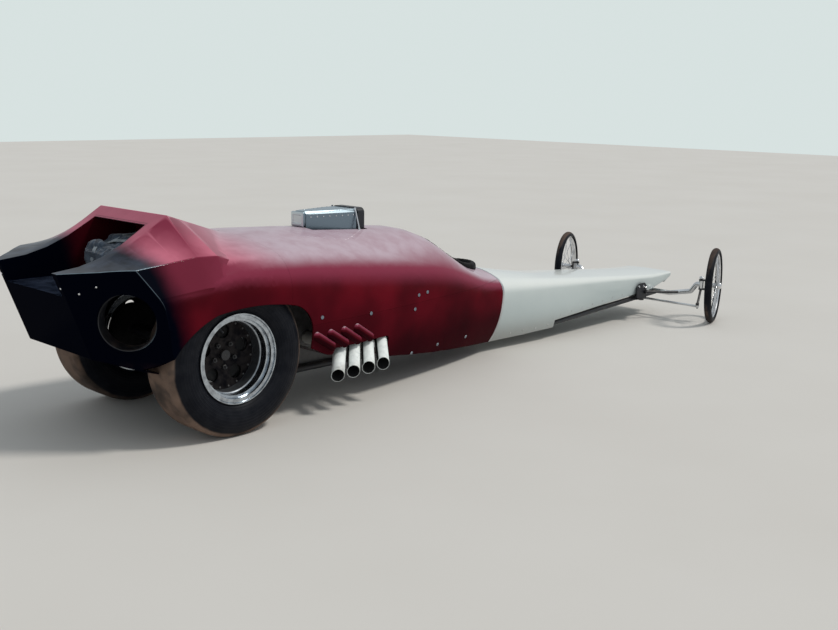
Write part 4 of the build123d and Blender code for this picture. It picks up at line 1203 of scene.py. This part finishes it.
def hex_nut(width, height, stud):
    """A six-sided nut on its washer, with the end of a stud in it."""
    deselect()
    bpy.ops.mesh.primitive_cylinder_add(vertices=6, radius=width / 2, depth=height,
                                        location=(0, 0, height / 2))
    nut = bpy.context.active_object
    edit(nut)
    select_faces(nut, lambda middle, normal: normal.z > 0.9)
    bpy.ops.mesh.inset(thickness=width * 0.06)
    bpy.ops.transform.translate(value=(0, 0, height * 0.12))
    bpy.ops.mesh.inset(thickness=width * 0.17)
    bpy.ops.mesh.extrude_region_move(TRANSFORM_OT_translate={"value": (0, 0, stud)})
    select_faces(nut, lambda middle, normal: normal.z < -0.9)
    bpy.ops.mesh.extrude_region_move(TRANSFORM_OT_translate={"value": (0, 0, -0.0002)})
    bpy.ops.transform.resize(value=(1.3, 1.3, 1))
    bpy.ops.mesh.extrude_region_move(TRANSFORM_OT_translate={"value": (0, 0, -0.0018)})
    bpy.ops.object.mode_set(mode="OBJECT")
    return nut


def round_wheel(side, sign, radius, turns):
    """Where the rear wheel's face is met at those turns round a circle, with its normal."""
    centre = middle_of(f"rear_tyre_{side}")
    starts = [centre + Vector((cos(turn) * radius, sign * 0.3, sin(turn) * radius)) for turn in turns]
    return [cast(skins[f"rear_rim_{side}"], start, (0, -sign, 0)) for start in starts]


nut = hex_nut(0.026, 0.012, 0.010)
small_bolt = dome_fastener(0.0052, 0.0042)
nut_turns = [2 * pi * index / 5 + radians(54) for index in range(5)]
bolt_turns = [2 * pi * (index + 0.5) / 20 for index in range(20)]
for side, sign in SIDES:
    body = body_of[f"rear_rim_{side}"]
    seats = round_wheel(side, sign, NUT_CIRCLE, nut_turns)
    placements = [upright_on(at, Vector((0, sign, 0)), turn) for (at, normal), turn in zip(seats, nut_turns)]
    copies(nut, placements, f"wheel_nuts_{side}", "axle_black", body=body)
    seats = round_wheel(side, sign, RING_CIRCLE, bolt_turns)
    placements = [upright_on(at, normal, turn) for (at, normal), turn in zip(seats, bolt_turns)]
    copies(small_bolt, placements, f"wheel_ring_bolts_{side}", "rim_aluminium", finishes["cast_grey"], body)
    print(side, "ring bolts at", round(abs(seats[-1][0].y), 4), "from the car's middle")
clear_away(nut, small_bolt)

# %% [markdown]
# Behind each rear wheel's casting sits a brake drum. It hardly shows. Its soot-black finish is painted
# shade, which makes the wheel's windows dark. It's turned from one cylinder, as on a lathe: each step is
# extruded and widened, which leaves cooling ribs round its rim. Its bore is bridged from face to face.

# %% Brake drums
DRUM_RADIUS = 0.138
DRUM_BORE = 0.030                        # clears the stub axle
DRUM_FACE = 0.05                         # width of the ring round its sunken front
RIB = ((0.001, 1.035), (0.004, 1), (0.001, 0.966), (0.005, 1))


def turned(vertices, radius, height, steps):
    """A round piece whose top is raised and widened step by step. It's left open in edit mode."""
    deselect()
    bpy.ops.mesh.primitive_cylinder_add(vertices=vertices, radius=radius, depth=height,
                                        location=(0, 0, height / 2))
    piece = bpy.context.active_object
    edit(piece)
    for rise, width in steps:
        select_faces(piece, lambda middle, normal: normal.z > 0.99)
        bpy.ops.mesh.extrude_region_move(TRANSFORM_OT_translate={"value": (0, 0, rise)})
        bpy.ops.transform.resize(value=(width, width, 1))
    return piece


def brake_drum():
    drum = turned(64, DRUM_RADIUS, 0.006, (*RIB, *RIB, *RIB[:2], (0.004, 0.93)))
    top_radius = max(v.co.xy.length for v in bmesh.from_edit_mesh(drum.data).verts if v.select)
    bpy.ops.mesh.inset(thickness=DRUM_FACE)
    bpy.ops.transform.translate(value=(0, 0, -0.004))
    bpy.ops.mesh.inset(thickness=top_radius - DRUM_FACE - DRUM_BORE)
    select_faces(drum, lambda middle, normal: normal.z < -0.99 and middle.xy.length < 0.001)
    bpy.ops.mesh.inset(thickness=DRUM_RADIUS - DRUM_BORE)
    select_faces(drum, lambda middle, normal: abs(normal.z) > 0.99 and middle.xy.length < 0.001)
    bpy.ops.mesh.delete(type="FACE")
    bpy.ops.mesh.select_mode(type="EDGE")
    bpy.ops.mesh.select_all(action="DESELECT")
    bpy.ops.mesh.select_non_manifold()
    bpy.ops.mesh.bridge_edge_loops()
    bpy.ops.object.mode_set(mode="OBJECT")
    return drum


drum = brake_drum()
for side, sign in SIDES:
    rim = f"rear_rim_{side}"
    centre = middle_of(f"rear_tyre_{side}")
    behind, normal = cast(skins[rim], Vector((centre.x + 0.075, sign * 0.05, centre.z)), (0, sign, 0))
    foot = Vector((centre.x, behind.y - sign * 0.040, centre.z))
    placement = upright_on(foot, Vector((0, sign, 0)))
    # The drum's soot-black finish is painted shade for the wheel's windows.
    copies(drum, [placement], f"brake_drum_{side}", "axle_black", soot_and_shade, body_of[rim])
    print(side, "drum foot", [round(v, 3) for v in foot])
clear_away(drum)

# %% [markdown]
# A valve stands in the barrel of each rear wheel and leans outwards, where a hand can reach it: a
# rubber foot, a thin stem and a knurled cap, turned from one cylinder.

# %% Valves of the rear wheels
VALVE_TURN = radians(118)                # where it stands round the wheel
VALVE_STEPS = ((0.004, 0.62), (0.014, 1.0), (0.0004, 1.35), (0.012, 1.0), (0.0015, 0.7))

stem = turned(16, 0.006, 0.006, VALVE_STEPS)
for side, sign in SIDES:
    rim = f"rear_rim_{side}"
    outward = Vector((cos(VALVE_TURN), 0, sin(VALVE_TURN)))
    start = middle_of(f"rear_tyre_{side}") + Vector((0, sign * 0.06, 0)) + outward * 0.10
    at, normal = cast(skins[rim], start, outward)
    placement = upright_on(at, (-outward + Vector((0, sign * 0.75, 0))).normalized())
    copies(stem, [placement], f"wheel_valve_{side}", "steering_black", finishes["scoop_rubber"], body_of[rim])
clear_away(stem)
print("valves at the barrel")

# %% [markdown]
# The front wheels turn on ball bearings behind small spun caps with a rolled foot and a small dome,
# and a cap closes each kingpin from above. The wheels are turned to the left, and so are their caps.

# %% Front hub caps and kingpin caps
FRONT_TURN = radians(21)
CAP_STEPS = ((0.0005, 0.80), (0.014, 0.97), (0.006, 0.84), (0.004, 0.66), (0.0015, 0.4))
KINGPIN_CAP_SIZE = 0.62                  # of the hub cap's


def top_of(skin):
    """The middle of a skin's highest points."""
    highest = max(v.co.z for v in skin.data.vertices)
    points = [v.co for v in skin.data.vertices if v.co.z > highest - 0.0005]
    return sum(points, Vector()) / len(points)


cap = turned(28, 0.026, 0.003, CAP_STEPS)
for side, sign in SIDES:
    rim, knuckle = f"front_rim_{side}", f"knuckle_{side}"
    centre = middle_of(f"front_tyre_{side}")
    outward = Vector((-sin(FRONT_TURN), cos(FRONT_TURN), 0)) * sign
    at, normal = cast(skins[rim], centre + outward * 0.3 + Vector((0, 0, 0.024)), -outward)
    face = centre + outward * (at - centre).dot(outward)
    copies(cap, [upright_on(face, outward)], f"front_hub_cap_{side}", "wire_chrome", body=body_of[rim])
    pin = top_of(skins[knuckle])
    placement = Matrix.Translation(pin) @ Matrix.Scale(KINGPIN_CAP_SIZE, 4)
    copies(cap, [placement], f"kingpin_cap_{side}", "chrome", body=body_of[knuckle])
    print(side, "hub face", [round(v, 3) for v in face], "kingpin top", [round(v, 3) for v in pin])
clear_away(cap)

# %% [markdown]
# The brackets beside the nose are bolted on, and three hexagon heads a side show where. They're
# copies of one smaller nut, each turned a little differently, as a wrench leaves them.

# %% Bolts on the front brackets
BRACKET_SPOTS = ((3.975, 0.262), (4.030, 0.262), (4.070, 0.245))

bolt = hex_nut(0.017, 0.008, 0.004)
placements = []
for side, sign in SIDES:
    for along, height in BRACKET_SPOTS:
        start = on_car(along, sign * 0.40, height)
        at, normal = cast(skins["front_brackets"], start, (0, -sign, 0), 0.3)
        placements.append(upright_on(at, normal, along * 9))
copies(bolt, placements, "bracket_bolts", "chrome", finishes["wire_chrome"])
clear_away(bolt)
print("bracket bolts", len(placements))

# %% [markdown]
# The nose is trimmed along its foot with a row of rivets into the frame. The foot rises and falls,
# so it's searched for from below with rays, and each rivet is laid at the same height above it.

# %% Rivets along the nose
FIRST_RIVET = 2.36                       # from the rear axle
RIVET_PITCH = 0.13
RIVET_RISE = 0.028


def above_foot(skin, x, sign, rise):
    """A place on a flank, a little above the flank's lower edge."""
    height = 0.04
    while not skin.ray_cast(on_car(x, sign * 0.9, height), (0, -sign, 0))[0]:
        height += 0.008
        if height > 0.5:
            raise ValueError(f"no flank at {x}")
    return cast_from_side(skin, x, sign, height + rise)


rivet = dome_fastener(0.0048, 0.0022)
placements = []
for side, sign in SIDES:
    for index in range(12):
        along = FIRST_RIVET + index * RIVET_PITCH
        placements.append(upright_on(*above_foot(skins["nose_cowl"], along, sign, RIVET_RISE)))
copies(rivet, placements, "nose_rivets", "aluminium_sheet", finishes["wire_chrome"])
print("nose rivets", len(placements))

# %% [markdown]
# The tail carries a few small screws round the ducts, which glint in the black. They have the same
# heads as the rivets, and rays from behind find the face that they sit on.

# %% Screws round the ducts
SCREW_SPOTS = ((0.289, 0.79), (0.349, 0.768), (0.411, 0.802))
BEHIND_TAIL = -1.6                       # a place from which a ray can look forward at the tail

placements = []
for side, sign in SIDES:
    for y, z in SCREW_SPOTS:
        start = on_car(BEHIND_TAIL, sign * y, z)
        placements.append(upright_on(*cast(skins["tail_shell"], start, (1, 0, 0))))
copies(rivet, placements, "tail_screws", "aluminium_sheet", finishes["wire_chrome"])
clear_away(rivet)
print("tail screws", len(placements))

# %% [markdown]
# The car stands on a plain pale floor, faintly cloudy so that it isn't one flat tone. It could be a
# backdrop that curves up behind, but a wide plane looks the same from every side.

# %% Floor
def plain_floor():
    deselect()
    bpy.ops.mesh.primitive_plane_add(size=60, location=(0, 0, 0))
    floor = bpy.context.active_object
    floor.name = "floor"
    ground = Finish("pale_floor", roughness=0.9)
    cloud = ground.noise(1.5, detail=3.0)
    ground.give("Base Color", ground.mix(cloud, (0.60, 0.575, 0.54), (0.66, 0.64, 0.61)))
    floor.data.materials.append(ground.material)
    deselect()
    return floor


print("floor", [round(v) for v in plain_floor().dimensions])

# %% [markdown]
# Most of the light is a wide soft sky, so that the car's own colours show. The camera sees the sky
# lighter than the light it gives, so the background stays pale.

# %% Sky
LIGHT_SKY = (0.80, 0.86, 0.90, 1)
SEEN_SKY = (0.72, 0.80, 0.79, 1)

scene.view_settings.view_transform = "Standard"
world = bpy.data.worlds.new("sky")
scene.world = world
world.use_nodes = True
sky = world.node_tree
light = sky.nodes["Background"]
seen = sky.nodes.new("ShaderNodeBackground")
for background, colour, strength in ((light, LIGHT_SKY, 0.62), (seen, SEEN_SKY, 0.95)):
    background.inputs["Color"].default_value = colour
    background.inputs["Strength"].default_value = strength
path = sky.nodes.new("ShaderNodeLightPath")
choice = sky.nodes.new("ShaderNodeMixShader")
for index, output in enumerate((path.outputs["Is Camera Ray"], light.outputs[0], seen.outputs[0])):
    sky.links.new(output, choice.inputs[index])
sky.links.new(choice.outputs[0], sky.nodes["World Output"].inputs["Surface"])
print("sky gives", light.inputs["Strength"].default_value)

# %% [markdown]
# One weak sun stands high over the car's right front. It could be left out, but its glints show
# where edges are rolled, and its soft shadow sets the car on the ground.

# %% Sun
sun_data = bpy.data.lights.new("sun", "SUN")
sun_data.energy = 1.7
sun_data.angle = radians(10)
sun_data.color = (1.0, 0.96, 0.90)
sun = bpy.data.objects.new("sun", sun_data)
sun.rotation_euler = (radians(34), radians(14), radians(20))
scene.collection.objects.link(sun)
print("sun", sun_data.energy)
